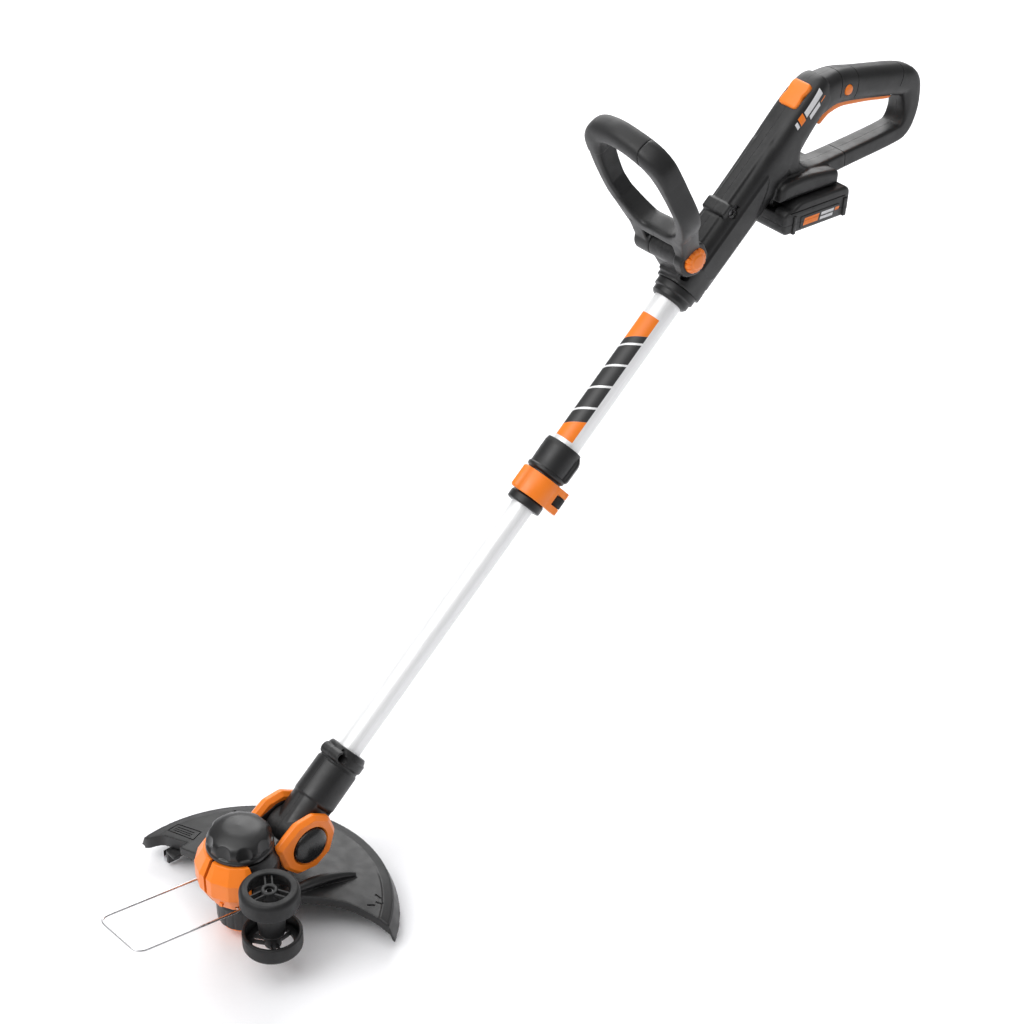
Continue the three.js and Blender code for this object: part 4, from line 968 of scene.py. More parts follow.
def build_battery_latch():
    side = [
        (90, 23.4, 1), (97, 23.4, 1), (98.8, 25, 1), (98.8, 28.5, 1.5), (96, 32.5, 1.5),
        (90, 32.5, 1),
    ]
    latch = plate(side, -15, 15, BATTERY, 1.0)
    for i in range(5):
        cut(latch, block(-11, 11, 98.4, 99.5, 25.2 + 0.75 * i, 25.5 + 0.75 * i, BATTERY))
    piece(latch, "pack_latch", "battery_release_button", GLOSS, "battery_release_button")


# ---- loop handle

SLEEVE_WALL = 2.4
LOOP_RIM = [
    (0, 31, 7, 12), (20, 31, 7, 12), (33, 38, 7, 12.5), (43, 52, 6.5, 13), (47, 70, 6, 13),
    (44, 96, 6, 13), (40, 116, 7.5, 13), (34, 133, 9.5, 12.5), (20, 145, 10, 11.5),
    (0, 152, 10, 11), (-20, 155, 10, 11), (-40, 151, 10, 11.5), (-52, 138, 9.5, 12.5),
    (-55, 116, 7.5, 13), (-56, 92, 6.5, 12), (-53, 66, 6.5, 11), (-42, 50, 7, 11.5),
    (-30, 38, 7, 12), (-18, 31, 7, 12),
]


def loop_rim(grow=0.0):
    """The loop handle's frame, which is asymmetric in its own plane."""
    stations = [(*station, 4.5) for station in LOOP_RIM]
    return bar(stations, "xz", LOOP, closed=True, grow=grow, sides=56)


def rounded_hexagon(radius):
    """Corners of the plate round the loop handle's lock button."""
    corners = []
    for k in range(6):
        angle = (30 + 60 * k) * DEG
        corners.append((radius * math.cos(angle), radius * math.sin(angle), 6))
    return corners


NEAR_STRUT = [
    (46, 80, 5, 12.4, 4), (41.5, 56, 6.8, 12.4, 4), (33.5, 30, 6.8, 12, 4), (28, 4, 5, 11, 4),
]
FAR_STRUT = [
    (-55, 78, 5.5, 11, 4), (-46, 52, 7, 11, 4), (-35, 28, 6.5, 11, 4), (-30, 4, 5, 10.5, 4),
]


def build_loop_handle():
    turned = sideways(LOOP, 0, 0)
    sleeve_at = [(30, 138, 12.4, 13.9, 2.4), (20, 145, 12.4, 13.9, 2.4)]
    for x, z, tall, wide in LOOP_RIM[9:12]:
        sleeve_at.append((x, z, tall + SLEEVE_WALL, wide + SLEEVE_WALL, 2.4))
    sleeve_at += [(-51, 139.5, 11.9, 14.6, 2.8), (-54.4, 122, 9.4, 13.8, 3.6)]
    shoulder = [
        (42, 105, 6.4, 12.9, 4.5), (39.6, 118, 8, 13, 4.2), (34.8, 131.5, 10.8, 13.4, 3.2),
        (27.6, 140, 12.1, 13.8, 2.6), (19.5, 145.4, 12.3, 13.8, 2.4), (8, 150, 12.3, 13.4, 2.4),
    ]
    thick = bar(shoulder, "xz", LOOP, sides=56)
    cut(thick, block(-10, 19.3, -40, 40, 100, 200, LOOP))
    struts = [bar(stations, "xz", LOOP, sides=40) for stations in (NEAR_STRUT, FAR_STRUT)]
    rim = join(loop_rim(), thick, *struts)
    near = [
        plate(rounded_hexagon(20.5), 20.8, 33, LOOP, 1.6),
        plate([(-12, 0), (12, 0), (12, 34), (-12, 34)], 21.2, 32.6, LOOP, 1.6),
    ]
    far = [
        rod(15, -39, -17.8, turned, 72, 1.2),
        plate([(-11, 0), (11, 0), (12, 34), (-12, 34)], -38, -21, LOOP, 1.6),
    ]
    join(rim, *near, *far)
    melt(rim, 0.9, 4, 0.35)
    cut(rim, rod(13.8, 23.8, 44, turned, 64), rod(3.6, -44, 30, turned, 32),
        rod(8.4, -45, -36.5, turned, 6))
    cut(rim, block(-17.7, 20.7, -30, 30, -30, 17.0, LOOP))
    cut(rim, rod(17, -17.7, 20.7, turned, 64))

    sleeve = bar(sleeve_at, "xz", LOOP, sides=56, per=8)
    cut(sleeve, block(19.0, 90, -40, 40, 60, 200, LOOP))
    melt(sleeve, 0.8, 2, 0.5)
    cut(sleeve, loop_rim(0.05), block(18.8, 90, -40, 40, 60, 200, LOOP))
    piece(largest(rim), "loop_frame", "loop_handle", PLASTIC, "loop_handle_frame")
    piece(largest(sleeve), "loop_grip", "loop_handle", SOFT, "loop_handle_grip")


def build_loop_knob():
    def scallops(radius, z, angle):
        depth = 1.5 * max(0.0, math.cos(12 * angle)) ** 4
        return -depth if radius > 9 and z > 28.5 else 0.0

    dome = [
        (0, 28, 0), (5, 28), (5, 30.5), (9.5, 30.5), (9.5, 28), (13.5, 28), (13.5, 35.2),
        (11.2, 37.7), (8, 38.2), (6.8, 39.2), (0, 39.8, 0),
    ]
    knob = lathe(dome, sideways(LOOP, 0, 0), 144, 0.9, scallops)
    piece(knob, "loop_knob", "loop_handle_lock_button", GLOSS, "loop_handle_lock_button")


# ---- tubes and clamp

TUBE_WALL = 1.2
UPPER_TUBE_SPAN = (483, 852)
LOWER_TUBE_SPAN = (92, 606)


def tube(outer, low, high):
    """A shaft tube between two stations, with eased ends."""
    inner = outer - TUBE_WALL
    ends = [(inner, low, 0.2), (outer, low, 0.4), (outer, high, 0.4), (inner, high, 0.2)]
    return lathe(ends, SHAFT, 96)


def build_tubes():
    upper, lower = tube(TUBE_R, *UPPER_TUBE_SPAN), tube(LOWER_TUBE_R, *LOWER_TUBE_SPAN)
    piece(upper, "upper_pole", "rear_handle", PRINTED_TUBE, "upper_tube")
    piece(lower, "lower_pole", "lower_shaft", TUBE, "lower_tube")


LEVER = {"span": (478, 504), "inner": 19.8, "outer": 23, "fork": (485, 497), "pin": (22, 16)}


def across_shaft(corners, low, high, edge):
    """Corners in (x, up), pulled along the shaft."""
    mirrored = [(c[0], -c[1], *c[2:]) for c in corners]
    return plate(mirrored, low, high, SHAFT, edge, "xy")


def arc_corners(inner, outer, start, end):
    """Corners of a curved strip between two radii and two angles."""
    angles = [start + (end - start) * k / 40 for k in range(41)]
    out = [(outer * math.cos(a), outer * math.sin(a)) for a in angles]
    back = [(inner * math.cos(a), inner * math.sin(a)) for a in reversed(angles)]
    return out + back


LEVER_HINGE = shifted(SHAFT, *LEVER["pin"])


def build_clamp_collar():
    bore = TUBE_R + GAP
    profile = [
        (LOWER_TUBE_R + GAP, 468, 0.3), (17.9, 468), (19, 469.2), (19, 476.6), (17.6, 478.5),
        (19.3, 484.5), (19.3, 506), (20.6, 506.6), (21.6, 508), (21.6, 510.5), (20.2, 511.6),
        (20.6, 526), (20.6, 537), (19.6, 542), (bore, 542, 0.3), (bore, 482.7, 0.2),
        (LOWER_TUBE_R + GAP, 482.7, 0.2),
    ]
    body = lathe(profile, SHAFT, 128, 0.8)
    rib = plate([(14.5, 508.5, 2), (23.6, 510, 4), (24, 534, 5), (19, 541.5, 2), (14.5, 541.5)],
                -5.5, 5.5, turned_z(SHAFT, 30 * DEG), 1.8, "xz")
    join(body, cut(rib, rod(17.5, 500, 550, SHAFT, 64)))
    lug_side = [(15, -6), (20, -7, 1), (27, -13, 2), (27.5, -18, 2), (22, -20.5, 2), (14, -13)]
    low, high = LEVER["fork"]
    join(body, across_shaft(lug_side, low + 0.4, high - 0.4, 0.8))
    split = block(14, 24, -1, 1, 484.6, 506, turned_z(SHAFT, 75 * DEG))
    cut(body, split, rod(2.4, 475, 512, LEVER_HINGE, 32))
    for k in range(9):
        at = shifted(turned_z(SHAFT, (118 + 14 * k) * DEG), 20.75)
        cut(body, rod(0.55, 513.5, 536, at, 12))
    piece(largest(body), "clamp_body", "rear_handle", PLASTIC, "clamp_collar")


def build_clamp_lever():
    span = LEVER["span"]
    arc = arc_corners(LEVER["inner"], LEVER["outer"], -26 * DEG, 104 * DEG)
    band = across_shaft(arc, *span, 0.9)
    eye = rod(5, *span, LEVER_HINGE, 48, 0.9)
    tab_side = [(-1, 19.9), (4, 22.4), (-2, 27, 4), (-9, 26.5, 4), (-11.5, 20.5, 2), (-10, 18)]
    tab = across_shaft(tab_side, *span, 2.6)
    link_side = [(22.6, 2), (24.5, -5, 3), (26.8, -14), (22, -20.6), (16, -15), (19, -4)]
    link = across_shaft(link_side, *span, 0.9)
    lever = join(band, eye, link, tab)
    cut(lever, rod(LEVER["inner"], 470, 510, SHAFT, 128), rod(2.5, 470, 510, LEVER_HINGE, 32),
        block(14, 34, 5, 30, *LEVER["fork"], SHAFT))
    piece(largest(lever), "clamp_band", "clamp_lever", GLOSS, "clamp_lever", sharp=40)


# ---- yoke

YOKE_SCREW = (157, 18.5)


def build_yoke():
    profile = [
        (0, 104.6, 0), (21, 104.6), (23, 107.4, 3), (22.6, 148, 1), (21.2, 149), (21.2, 152),
        (23, 153), (23, 162), (21.4, 162.6), (21.4, 164.4), (19.6, 168), (0, 168, 0),
    ]
    sleeve = lathe(profile, SHAFT, 96, 0.8)
    eye = rod(22, -17.5, 17.5, beside(TILT_PIVOT_AT, 0), 96, 1.2)
    neck_side = [(-21.4, TILT_PIVOT_AT), (21.4, TILT_PIVOT_AT), (21.8, 112), (-21.8, 112)]
    neck = common(plate(neck_side, -17.5, 17.5, SHAFT, 1), rod(22.3, 60, 110, SHAFT, 96))
    boss = rod(6.6, -12.5, 12.5, beside(*YOKE_SCREW), 48, 0.8)
    body = join(sleeve, eye, neck, boss)
    melt(body, 0.7, 2, 0.4)
    cut(body, rod(LOWER_TUBE_R + GAP, 91.5, 180, SHAFT, 64), rod(7, 70, 100, SHAFT, 40))
    cut(body, rod(6.3, -30, 30, beside(TILT_PIVOT_AT, 0), 48))
    cut(body, rod(4.3, 6, 30, beside(*YOKE_SCREW), 40))
    cut(body, block(8, 30, -20.2, -16.8, 157, 166, SHAFT))
    cut(body, block(-30, 30, -30, -20.5, 148.8, 149.9, SHAFT))
    for side, half in halves(body, (-40, 40), (40, 180), SHAFT):
        piece(half, f"{side}_yoke", "lower_shaft", PLASTIC, f"yoke_{side}_shell")


# ---- motor head

ARM_OUT = 22
GUARD_SCREWS = [(26, 24), (-26, 24)]
WIRE_SIZE = {
    "r": 1.3, "half": 32, "y": -28, "z": 14.5, "reach": 124, "rise": 9.7 * DEG, "corner": 12,
}
WHEEL_SIZE = {"x": 74, "y": -21.4, "r": 30, "tall": 20, "top": 69, "bottom": -7}
WHEEL_ANGLE = math.atan2(WHEEL_SIZE["y"], WHEEL_SIZE["x"])


def core(grow=0.0):
    """The motor housing's turned body, or the room that the parts round it leave for it."""
    profile = [
        (0, 9 - grow, 0), (35 + grow, 9 - grow), (38 + grow, 15), (38 + grow, 48),
        (33 + grow, 60 + grow), (0, 60 + grow, 0),
    ]
    return lathe(profile, LAYOUT, 96, 0 if grow else 1.2)


def arm_side(radius):
    """The side view of an arm that reaches back to the tilt pivot, with a round end."""
    y, z = TILT.y, TILT.z
    points = [(22, 14), (y - 8, z - radius + 1)]
    for k in range(25):
        angle = (-100 + 200 * k / 24) * DEG
        points.append((y + radius * math.cos(angle), z + radius * math.sin(angle)))
    return points + [(26, 57), (22, 50)]


def build_motor_housing():
    body = core()
    for sign in (-1, 1):
        join(body, plate(arm_side(24.5), *side_span(sign, 18, ARM_OUT), LAYOUT, 0.8))
    side = [(25, 12), (38, 15, 2), (39.5, 43, 3), (37, 58, 4), (25, 58)]
    join(body, plate(side, -ARM_OUT, ARM_OUT, LAYOUT, 1.0))
    melt(body, 0.8, 2, 0.4)
    room = [(0, 13, 0), (27.6, 13), (27.6, 58), (30, 58), (30, 70), (0, 70, 0)]
    cut(body, lathe(room, LAYOUT, 64, 0), rod(9.3, 0, 20, LAYOUT, 40))
    cut(body, rod(6.3, -30, 30, at_pivot(TILT), 48))
    for x, y in GUARD_SCREWS:
        cut(body, rod(2.1, 0, 12.6, shifted(LAYOUT, x, y), 24))
    piece(largest(body), "motor_case", "head", PLASTIC, "motor_housing")


def build_front_covers():
    profile = [(0, 8.5), (36.5, 8.5), (46, 27), (46, 46), (36.5, 62), (0, 62)]
    faceted = [(r, z, 0) for r, z in profile]
    cover = lathe(faceted, turned_z(LAYOUT, -6 * DEG), 15, 0)
    melt(cover, 0.55, 1, 0.4)
    notch_at = turned_z(LAYOUT, -68 * DEG)
    cut(cover, block(41.5, 60, -6, 6, 14.5, 20.5, notch_at, 0.8))
    join(cover, block(38, 42.6, -1.6, 1.6, 15, 20, notch_at, 0.4))
    wire_at = sideways(LAYOUT, WIRE_SIZE["y"], WIRE_SIZE["z"])
    wire_room = rod(WIRE_SIZE["r"] + GAP, -40, 40, wire_at, 24)
    bracket_room = block(34, 60, -7, 30, 12, 48, turned_z(LAYOUT, WHEEL_ANGLE))
    cut(cover, core(GAP), wire_room, bracket_room)
    for side, half in halves(cover, (-60, -14), (0, 70), LAYOUT, 1.9, 0.5):
        piece(half, f"{side}_front_cover", "head", GLOSS, f"front_cover_{side}")


COVER_CORNERS = [
    (0, 34), (38, 34.3), (76, 34), (112, 34.6), (160, 42.5), (206, 34), (244, 34.5), (282, 34),
    (320, 34.5),
]


def build_pivot_covers():
    y, z = TILT.y, TILT.z
    corners = []
    for degrees, radius in COVER_CORNERS:
        angle = degrees * DEG
        corners.append((y + radius * math.cos(angle), z + radius * math.sin(angle), 2.5))
    neck_side = [(20, 8), (41, 12), (42, 46), (40, 62), (20, 62)]
    for sign, side in SIDES:
        axle = at_pivot(TILT, sign)
        shell = plate(corners, *side_span(sign, 18.5, 31), LAYOUT, 4.2, steps=1, curve=2)
        melt(shell, 0.5, 1, 0.3)
        low, high = side_span(sign, 0, ARM_OUT + GAP)
        dish = [(0, 15, 0), (20.6, 15, 0), (20.6, 29.6), (22, 31.2), (22, 40), (0, 40, 0)]
        cut(shell, lathe(dish, axle, 96, 0.5), plate(arm_side(25), low, high, LAYOUT, 0))
        cut(shell, plate(neck_side, low, high, LAYOUT, 0), core(0.4))
        piece(largest(shell), f"{side}_pivot_ring", "head", GLOSS, f"pivot_cover_{side}")


def build_tilt_button():
    rim = 19.9
    dome = [
        (0, 28, 0), (rim, 28), (rim, 31), (18.8, 32.8, 1.2), (15.2, 35.2, 4), (9, 36.9, 5),
        (0, 37.3, 0),
    ]
    near = at_pivot(TILT)
    button = join(lathe(dome, near, 96, 0.8), rod(5.8, 12.6, 29, near, 40))
    piece(button, "tilt_dome", "tilt_button", POLISHED, "tilt_button")
    cap = [
        (0, ARM_OUT + GAP, 0), (rim, ARM_OUT + GAP), (rim, 29), (16, 32, 3), (8, 34, 3),
        (0, 34.5, 0),
    ]
    cover = lathe(cap, at_pivot(TILT, -1), 96, 0.8)
    piece(cover, "far_pivot_cap", "head", PLASTIC, "pivot_cap_right")


def build_motor_cap():
    profile = [
        (0, 84.2, 0), (14, 80.5), (29.5, 66.5), (29.5, 62.6), (33.4, 62.6), (33.8, 63.6),
        (33.8, 66.4), (33.2, 67.4, 0.6), (32.2, 67.8, 0.6), (33.2, 73, 3), (30, 80.4, 5),
        (19, 86.2, 8), (0, 88.4, 0),
    ]
    cap = lathe(profile, LAYOUT, 168, 0.6)
    scoops, slots = 9, 14
    for k in range(scoops):
        where = turned_z(LAYOUT, (k + 0.3) * 2 * math.pi / scoops)
        leaning = shifted(where, 47, 0, 68.2) @ Matrix.Rotation(-13 * DEG, 4, "Y")
        cut(cap, rod(16, 3.4, 50, leaning, 72))
    melt(cap, 0.6, 2, 0.4)
    join(cap, rod(6, 58.8, 84, LAYOUT, 40))
    cut(cap, rod(4.2, 58, 64, LAYOUT, 32))
    for k in range(slots):
        where = turned_z(LAYOUT, (k + 0.5) * 2 * math.pi / slots)
        cut(cap, block(28, 40, -4.6, 4.6, 61, 63.9, where))
    piece(largest(cap), "top_cap", "head", SATIN, "motor_cap")


def build_spool():
    cup = [
        (2.8, 0.5, 0.2), (7, 0.5), (7, -5), (25.6, -5), (25.6, -27), (28, -27), (28, -4), (26, 1),
        (14, 6.2), (2.8, 6.2, 0.2),
    ]

    def ribs(radius, z, angle):
        return -0.9 * max(0.0, math.cos(18 * angle)) ** 4 if radius > 27.5 and z < -5 else 0.0

    body = lathe(cup, LAYOUT, 216, 0.8, ribs)
    for angle in (0, math.pi):
        eye = sideways(turned_z(LAYOUT, angle), 0, -14)
        join(body, cut(rod(4.2, 24, 28.9, eye, 40, 0.6), rod(25.7, -20, 20, LAYOUT, 72)))
        cut(body, rod(2.2, 20, 32, eye, 32))
    piece(body, "spool_case", "rotor", PLASTIC, "spool_housing")
    lid = [
        (0, -33, 0), (12, -33), (13, -31.6), (17, -31.6), (18, -33), (19, -33), (25.4, -30.6),
        (26.2, -27.3), (10, -27.3), (8, -25.3), (0, -25.3, 0),
    ]
    cap = lathe(lid, LAYOUT, 96, 0.7)
    piece(cap, "spool_lid", "rotor", GLOSS, "spool_cap")


# ---- guard

GUARD_R = 149
GUARD_WALL = 2.6
PLATE = [(31, 8.6), (43, 8.6), (50, 3.5), (100, -4.5), (138, -12.5), (GUARD_R, -17)]
LEFT_EDGE = [
    (-36, 6), (-72, 0), (-100, -5), (-100.2, 5.5), (-134, -2.2, 5), (-142, -15, 5), (-175, -19),
]
RIGHT_EDGE = [(34, 22), (47, 38, 8), (59, 53.5, 8), (79, 71, 8), (103, 80.5, 8), (140, 89)]
FIN = [
    (34, 4, 4, 3, 2), (50, 6.5, 5.5, 5.5, 2), (70, 4.5, 5.5, 5.5, 2), (89, -0.5, 4.5, 4, 2),
    (104, -6, 3, 2.5, 2),
]
FIN_X = 30
FIN_SPLAY = 11.4 * DEG
CUTTER_TURN = -94 * DEG
LABEL = [(-137, 20.2), (-105.6, 26.5), (-99.7, 12.3), (-136, 7)]
TIP_SLOTS = [
    (86, 102, 8), (94, 97, 32), (92, 88, 60), (-112, 74, -50), (-104, 80, -50), (-95, 86, -45),
]


def plate_band(depth, down=0.0):
    """The guard's top plate as a full ring of a depth, or a layer some way under it."""
    top = [(r, z - down) for r, z in PLATE]
    under = [(r, z - down - depth) for r, z in reversed(PLATE)]
    return lathe(top + under, LAYOUT, 180, 0)


def eased(value, start, end):
    """0 up to the start, 1 from the end on, and a smooth rise between them."""
    t = min(max((value - start) / (end - start), 0), 1)
    return t * t * (3 - 2 * t)


def rim_sweep(turn, count, profile_at):
    """A profile swept round the guard's rim, from 20 degrees on, that changes on the way."""
    rings = []
    for k in range(count + 1):
        angle = (20 + turn * k / count) * DEG
        profile = profile_at(angle / DEG)
        rings.append([(r * math.cos(angle), r * math.sin(angle), z) for r, z in profile])
    return skin(rings, LAYOUT)


def skirt_profile(degrees):
    """The rim that hangs from the guard's edge, deeper and wider towards the right tip."""
    near_tip = 1 - eased(degrees, 30, 80)
    bottom, out = -17 - (11 + 6 * near_tip), GUARD_R + (4 + 3 * near_tip)
    return [
        (GUARD_R - GUARD_WALL - 0.6, -16.4), (GUARD_R, -16.6), (out, bottom),
        (out - GUARD_WALL, bottom), (GUARD_R - GUARD_WALL - 0.8, -18.2),
    ]


def step_profile(degrees):
    """A low step along the rim that fades in towards the right tip."""
    rise = 1.5 * (1 - eased(degrees, 45, 92))
    return [(138, -12.5 + rise), (GUARD_R - 1, -16.6 + rise), (GUARD_R - 1, -19), (138, -14.8)]


def guard_plan(inset):
    """The guard's plan as a tall prism, with its two front edges set back by an inset."""
    left = [(x, y + inset, *curve) for x, y, *curve in LEFT_EDGE]
    right = [(x - inset * 0.6, y + inset, *curve) for x, y, *curve in RIGHT_EDGE]
    corners = right + [(200, 200), (-200, 200)] + left[::-1]
    return plate(corners, -60, 20, LAYOUT, 0, "xy")


def top_layer(corners, height):
    """The part of an outline's prism that lies in a layer round the guard's top face."""
    prism = plate(corners, -40, 20, LAYOUT, 0, "xy")
    return common(prism, plate_band(1.0 + height, -height))


def framed(corners, width):
    """Corners of thin bars along an outline's sides."""
    bars = []
    for start, end in zip(corners, corners[1:] + corners[:1]):
        ahead = (Vector(end) - Vector(start)).normalized()
        side = Vector((-ahead.y, ahead.x)) * width / 2
        reach = ahead * width / 2
        a, b = Vector(start) - reach, Vector(end) + reach
        bars.append([tuple(a - side), tuple(b - side), tuple(b + side), tuple(a + side)])
    return bars


def build_guard():
    body = common(plate_band(GUARD_WALL), guard_plan(0))
    walls = cut(common(plate_band(9, 1), guard_plan(0)), guard_plan(3))
    lip = common(plate_band(13, 1), guard_plan(0), block(-170, -100.3, -60, 8, -60, 0, LAYOUT))
    cut(lip, guard_plan(3))
    rim = common(rim_sweep(170, 160, skirt_profile), guard_plan(0))
    pads = [rod(6, 4.5, 8.6, shifted(LAYOUT, x, y), 32) for x, y in GUARD_SCREWS]
    fins = []
    for sign in (-1, 1):
        splay = turned_z(shifted(LAYOUT, sign * FIN_X), -sign * FIN_SPLAY)
        fins.append(bar(FIN, "yz", splay, sides=32))
    join(body, walls, lip, rim, *pads, *fins)
    join(body, common(rim_sweep(75, 90, step_profile), guard_plan(1)))
    melt(body, 0.85, 2, 0.35)
    for side in framed(LABEL, 1.4):
        cut(body, top_layer(side, 0.5))
    for row in (0.3, 0.55, 0.75):
        start = Vector(LABEL[0]).lerp(Vector(LABEL[3]), row)
        end = Vector(LABEL[1]).lerp(Vector(LABEL[2]), row)
        bar_line = framed([tuple(start.lerp(end, 0.12)), tuple(start.lerp(end, 0.8))], 1.2)[0]
        cut(body, top_layer(bar_line, 0.4))
    cut(body, rod(30.8, -60, 20, LAYOUT, 96), core(GAP + 0.05))
    for at in [shifted(LAYOUT, x, y) for x, y in GUARD_SCREWS]:
        cut(body, rod(2.1, 0, 12, at, 24), rod(5, -10, 4.4, at, 40))
    for x, y, angle in TIP_SLOTS:
        at = turned_z(shifted(LAYOUT, x, y), angle * DEG)
        cut(body, block(-4, 4, -1.4, 1.4, -30, 10, at))
    piece(largest(body), "guard_shell", "head", PLASTIC, "guard")


def build_line_cutter():
    holder = turned_z(shifted(LAYOUT, -124, 1, -24), CUTTER_TURN)
    side = [(0, 0, 1), (15, 0, 1), (15, -3.4, 1), (4, -3.4, 1), (4, -16, 1), (0, -16, 1)]
    bracket = plate(side, -7, 7, holder, 0.6)
    piece(bracket, "cutter_arm", "head", PLASTIC, "cutter_bracket")
    blade_at = turned_z(shifted(LAYOUT, -128.5, 1, -24), CUTTER_TURN)
    blade = block(-7, 7, -0.8, 0, -19, -4, blade_at, 0.15)
    piece(blade, "line_cutter", "head", BRIGHT_STEEL, "cutter_blade")


# ---- wheels and wire guard

def wheel_at(where):
    """A ribbed edging wheel, with its open side up."""
    r, tall = WHEEL_SIZE["r"], WHEEL_SIZE["tall"]
    profile = [
        (26.5, 0), (29.0, 0, 1.2), (r, 1.2, 1.0), (r, tall - 3.4, 2.4), (27.5, tall, 1.6),
        (21.2, tall, 1.0), (20.3, tall - 1.2), (20.3, 13), (26.5, 13),
    ]
    wheel = lathe(profile, where, 120, 0.6)
    join(wheel, lathe([(4.3, 2), (8.5, 2), (8.5, 17.6), (7.6, 18.4), (5.2, 18.4), (4.3, 17.8)],
                      where, 56, 0.5))
    for k in range(3):
        for side in (-3.4, 3.4):
            at = turned_z(where, (120 * k + 25) * DEG)
            join(wheel, block(6.5, 21.5, side - 1.1, side + 1.1, 12.8, 17.5, at, 0.5))
    return wheel


def build_wheels():
    x, y, tall = WHEEL_SIZE["x"], WHEEL_SIZE["y"], WHEEL_SIZE["tall"]
    top, bottom = WHEEL_SIZE["top"], WHEEL_SIZE["bottom"]
    upper = wheel_at(shifted(LAYOUT, x, y, top - tall))
    lower = wheel_at(shifted(LAYOUT, x, y, bottom + tall) @ Matrix.Rotation(math.pi, 4, "X"))
    piece(upper, "top_wheel", "upper_wheel", TYRE, "upper_wheel")
    piece(lower, "bottom_wheel", "lower_wheel", TYRE, "lower_wheel")


def build_wheel_arm():
    x, y, tall = WHEEL_SIZE["x"], WHEEL_SIZE["y"], WHEEL_SIZE["tall"]
    top, bottom = WHEEL_SIZE["top"], WHEEL_SIZE["bottom"]
    axle = shifted(LAYOUT, x, y)
    spindle = rod(4, bottom + 4, top - 4, axle, 48, 0.5)
    cut(spindle, rod(2.9, top - 9, top, axle, 32))
    piece(spindle, "wheel_spindle", "head", DARK_STEEL, "wheel_axle")

    low, high = bottom + tall - 1.5, top - tall + 1.5
    reach = math.hypot(x, y)
    spoke = turned_z(LAYOUT, WHEEL_ANGLE)
    profile = [
        (0, low, 0), (12.8, low), (13.4, low + 8, 4), (15, low + 24, 6), (17.4, high), (0, high, 0),
    ]
    body = lathe(profile, axle, 72, 0.7)
    join(body, block(32, reach, -6, 6, 20, 40, spoke, 1.2))
    join(body, block(32, 41, -6, 9, 16, 44, spoke, 0.8))
    melt(body, 0.7, 3, 0.5)
    cut(body, rod(4.2, -20, 80, axle, 40), core(GAP))
    piece(largest(body), "wheel_arm", "head", PLASTIC, "wheel_bracket")


def rounded_path(stops, radii):
    """Straight runs between stops, with a curve of the given reach at each inner stop."""
    path = [stops[0]]
    for before, here, after, radius in zip(stops, stops[1:], stops[2:], radii):
        start = here + (before - here).normalized() * radius
        end = here + (after - here).normalized() * radius
        for t in [k / 8 for k in range(9)]:
            path.append((1 - t) ** 2 * start + 2 * t * (1 - t) * here + t * t * end)
    return path + [stops[-1]]


def build_wire_guard():
    half, corner, rise = WIRE_SIZE["half"], WIRE_SIZE["corner"], WIRE_SIZE["rise"]
    ahead = Vector((0, -math.cos(rise), math.sin(rise)))
    foot_at = Vector((0, WIRE_SIZE["y"], WIRE_SIZE["z"]))
    right, left = foot_at - TO_LEFT * half, foot_at + TO_LEFT * half
    reach = ahead * WIRE_SIZE["reach"]
    stops = [
        foot_at - TO_LEFT * (half - 4), right, right + reach, left + reach, left,
        foot_at + TO_LEFT * (half - 4),
    ]
    path = rounded_path(stops, [2.4, corner, corner, 2.4])
    bent = wire(path, WIRE_SIZE["r"], LAYOUT, 20)
    piece(bent, "wire_loop", "wire_guard", WIRE_STEEL, "wire_guard")


# ---- inner pieces kept from CAD

CARRIED = {
    "trigger_pin": STEEL, "housing_screw_1": DARK_STEEL, "housing_screw_2": DARK_STEEL,
    "trigger_spring": STEEL, "clamp_lever_pin": DARK_STEEL, "loop_handle_bolt": STEEL,
    "loop_handle_button_spring": STEEL, "tilt_pivot_pin": STEEL, "tilt_button_spring": STEEL,
    "motor_can": STEEL, "upper_bearing": STEEL, "lower_bearing": STEEL,
    "guard_screw_1": STEEL, "guard_screw_2": STEEL, "spool_spring": STEEL,
    "main_switch": PLASTIC, "spool": PLASTIC, "control_board": BOARD,
    "battery_cells": CELL, "telescope_bush": NYLON, "motor_rotor": COPPER, "line_winding": LINE,
}


def finish_carried():
    for name, material in CARRIED.items():
        obj = frame["nodes"][name]
        obj.data.materials.clear()
        obj.data.materials.append(material)


# ---- the studio

FLOOR_HALF = 12
FLOOR_GAP = 0.0015


def build_floor():
    level = CAD_BOX[0][2] - FLOOR_GAP
    signs = ((-1, -1), (1, -1), (1, 1), (-1, 1))
    corners = [(FLOOR_HALF * x, FLOOR_HALF * y, level) for x, y in signs]
    mesh = bpy.data.meshes.new("floor")
    mesh.from_pydata(corners, [], [(0, 1, 2, 3)])
    floor = bpy.data.objects.new("floor", mesh)
    bpy.context.scene.collection.objects.link(floor)
    shader = Shader("floor")
    tone = shader.drift(300, 2, 0, 1)
    colour = shader.mix(tone, grey(0.95), grey(0.96))
    floor.data.materials.append(shader.finish(colour, shader.drift(300, 2, 0.85, 0.95)))


HORIZON = 0.17
ZENITH = 0.5
MIRRORED = Vector((-CAMERA_BACK.x, -CAMERA_BACK.y, CAMERA_BACK.z))


def lamp(name, kind, place, target, power, **settings):
    """A light at a place that shines towards a target."""
    light = bpy.data.lights.new(name, kind)
    light.energy = power
    for setting, value in settings.items():
        setattr(light, setting, value)
    obj = bpy.data.objects.new(name, light)
    obj.location = place
    obj.rotation_euler = (target - place).to_track_quat("-Z", "Y").to_euler()
    bpy.context.scene.collection.objects.link(obj)


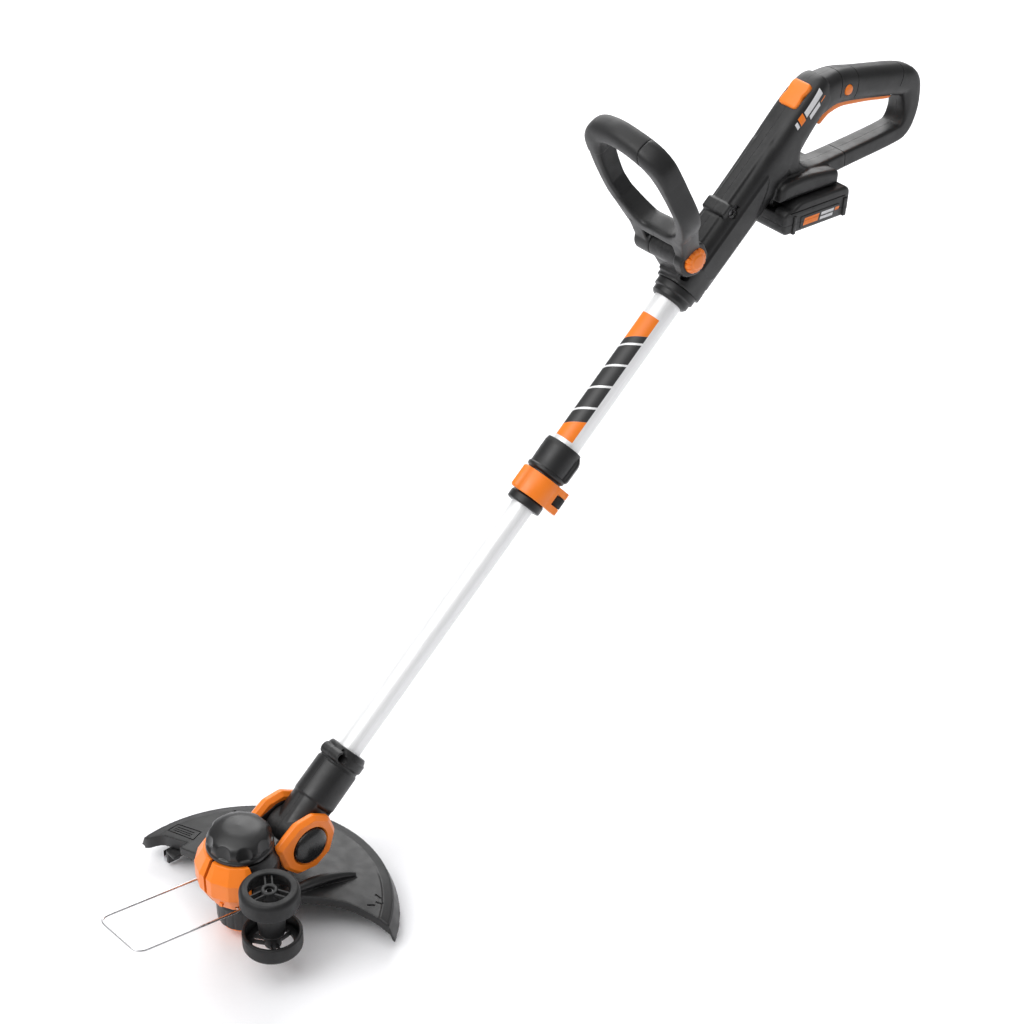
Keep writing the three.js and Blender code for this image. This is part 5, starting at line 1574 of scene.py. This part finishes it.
def build_studio():
    world = bpy.data.worlds.new("studio")
    world.use_nodes = True
    tree = world.node_tree
    height = tree.nodes.new("ShaderNodeSeparateXYZ")
    level = tree.nodes.new("ShaderNodeMapRange")
    level.inputs["To Min"].default_value = HORIZON
    level.inputs["To Max"].default_value = ZENITH
    tree.links.new(tree.nodes.new("ShaderNodeTexCoord").outputs["Generated"], height.inputs[0])
    tree.links.new(height.outputs["Z"], level.inputs["Value"])
    backdrop = tree.nodes["Background"]
    backdrop.inputs["Color"].default_value = (1, 1, 1, 1)
    tree.links.new(level.outputs["Result"], backdrop.inputs["Strength"])
    bpy.context.scene.world = world
    bpy.context.scene.view_settings.view_transform = "Standard"
    middle = (Vector(CAD_BOX[0]) + Vector(CAD_BOX[1])) / 2
    above = middle + Vector((-0.2, -2.2, 2.0))
    lamp("sky panel", "SUN", Vector((-0.1, -0.4, 1)), Vector(), 1.4, angle=70 * DEG)
    lamp("key", "AREA", above, middle, 28, shape="SQUARE", size=1.6)
    lamp("sheen", "AREA", middle + MIRRORED * 2.4, middle, 44, shape="SQUARE", size=2.0)


def build_camera():
    camera = bpy.data.objects.new("camera", bpy.data.cameras.new("camera"))
    camera.data.lens = LENS
    camera.data.sensor_width = 36
    up = CAMERA_BACK.cross(CAMERA_RIGHT)
    turn = Matrix((CAMERA_RIGHT, up, CAMERA_BACK)).transposed()
    camera.matrix_world = Matrix.Translation(CAMERA_AT) @ turn.to_4x4()
    bpy.context.scene.collection.objects.link(camera)
    bpy.context.scene.camera = camera


build_camera()
build_housing()
build_collar()
build_feed_button()
build_trigger()
build_lock_off_button()
build_battery_case()
build_terminals()
build_battery_latch()
build_loop_handle()
build_loop_knob()
build_tubes()
build_clamp_collar()
build_clamp_lever()
build_yoke()
build_motor_housing()
build_front_covers()
build_pivot_covers()
build_tilt_button()
build_motor_cap()
build_spool()
build_guard()
build_line_cutter()
build_wheels()
build_wheel_arm()
build_wire_guard()
finish_carried()
build_floor()
build_studio()

bpy.context.view_layer.update()
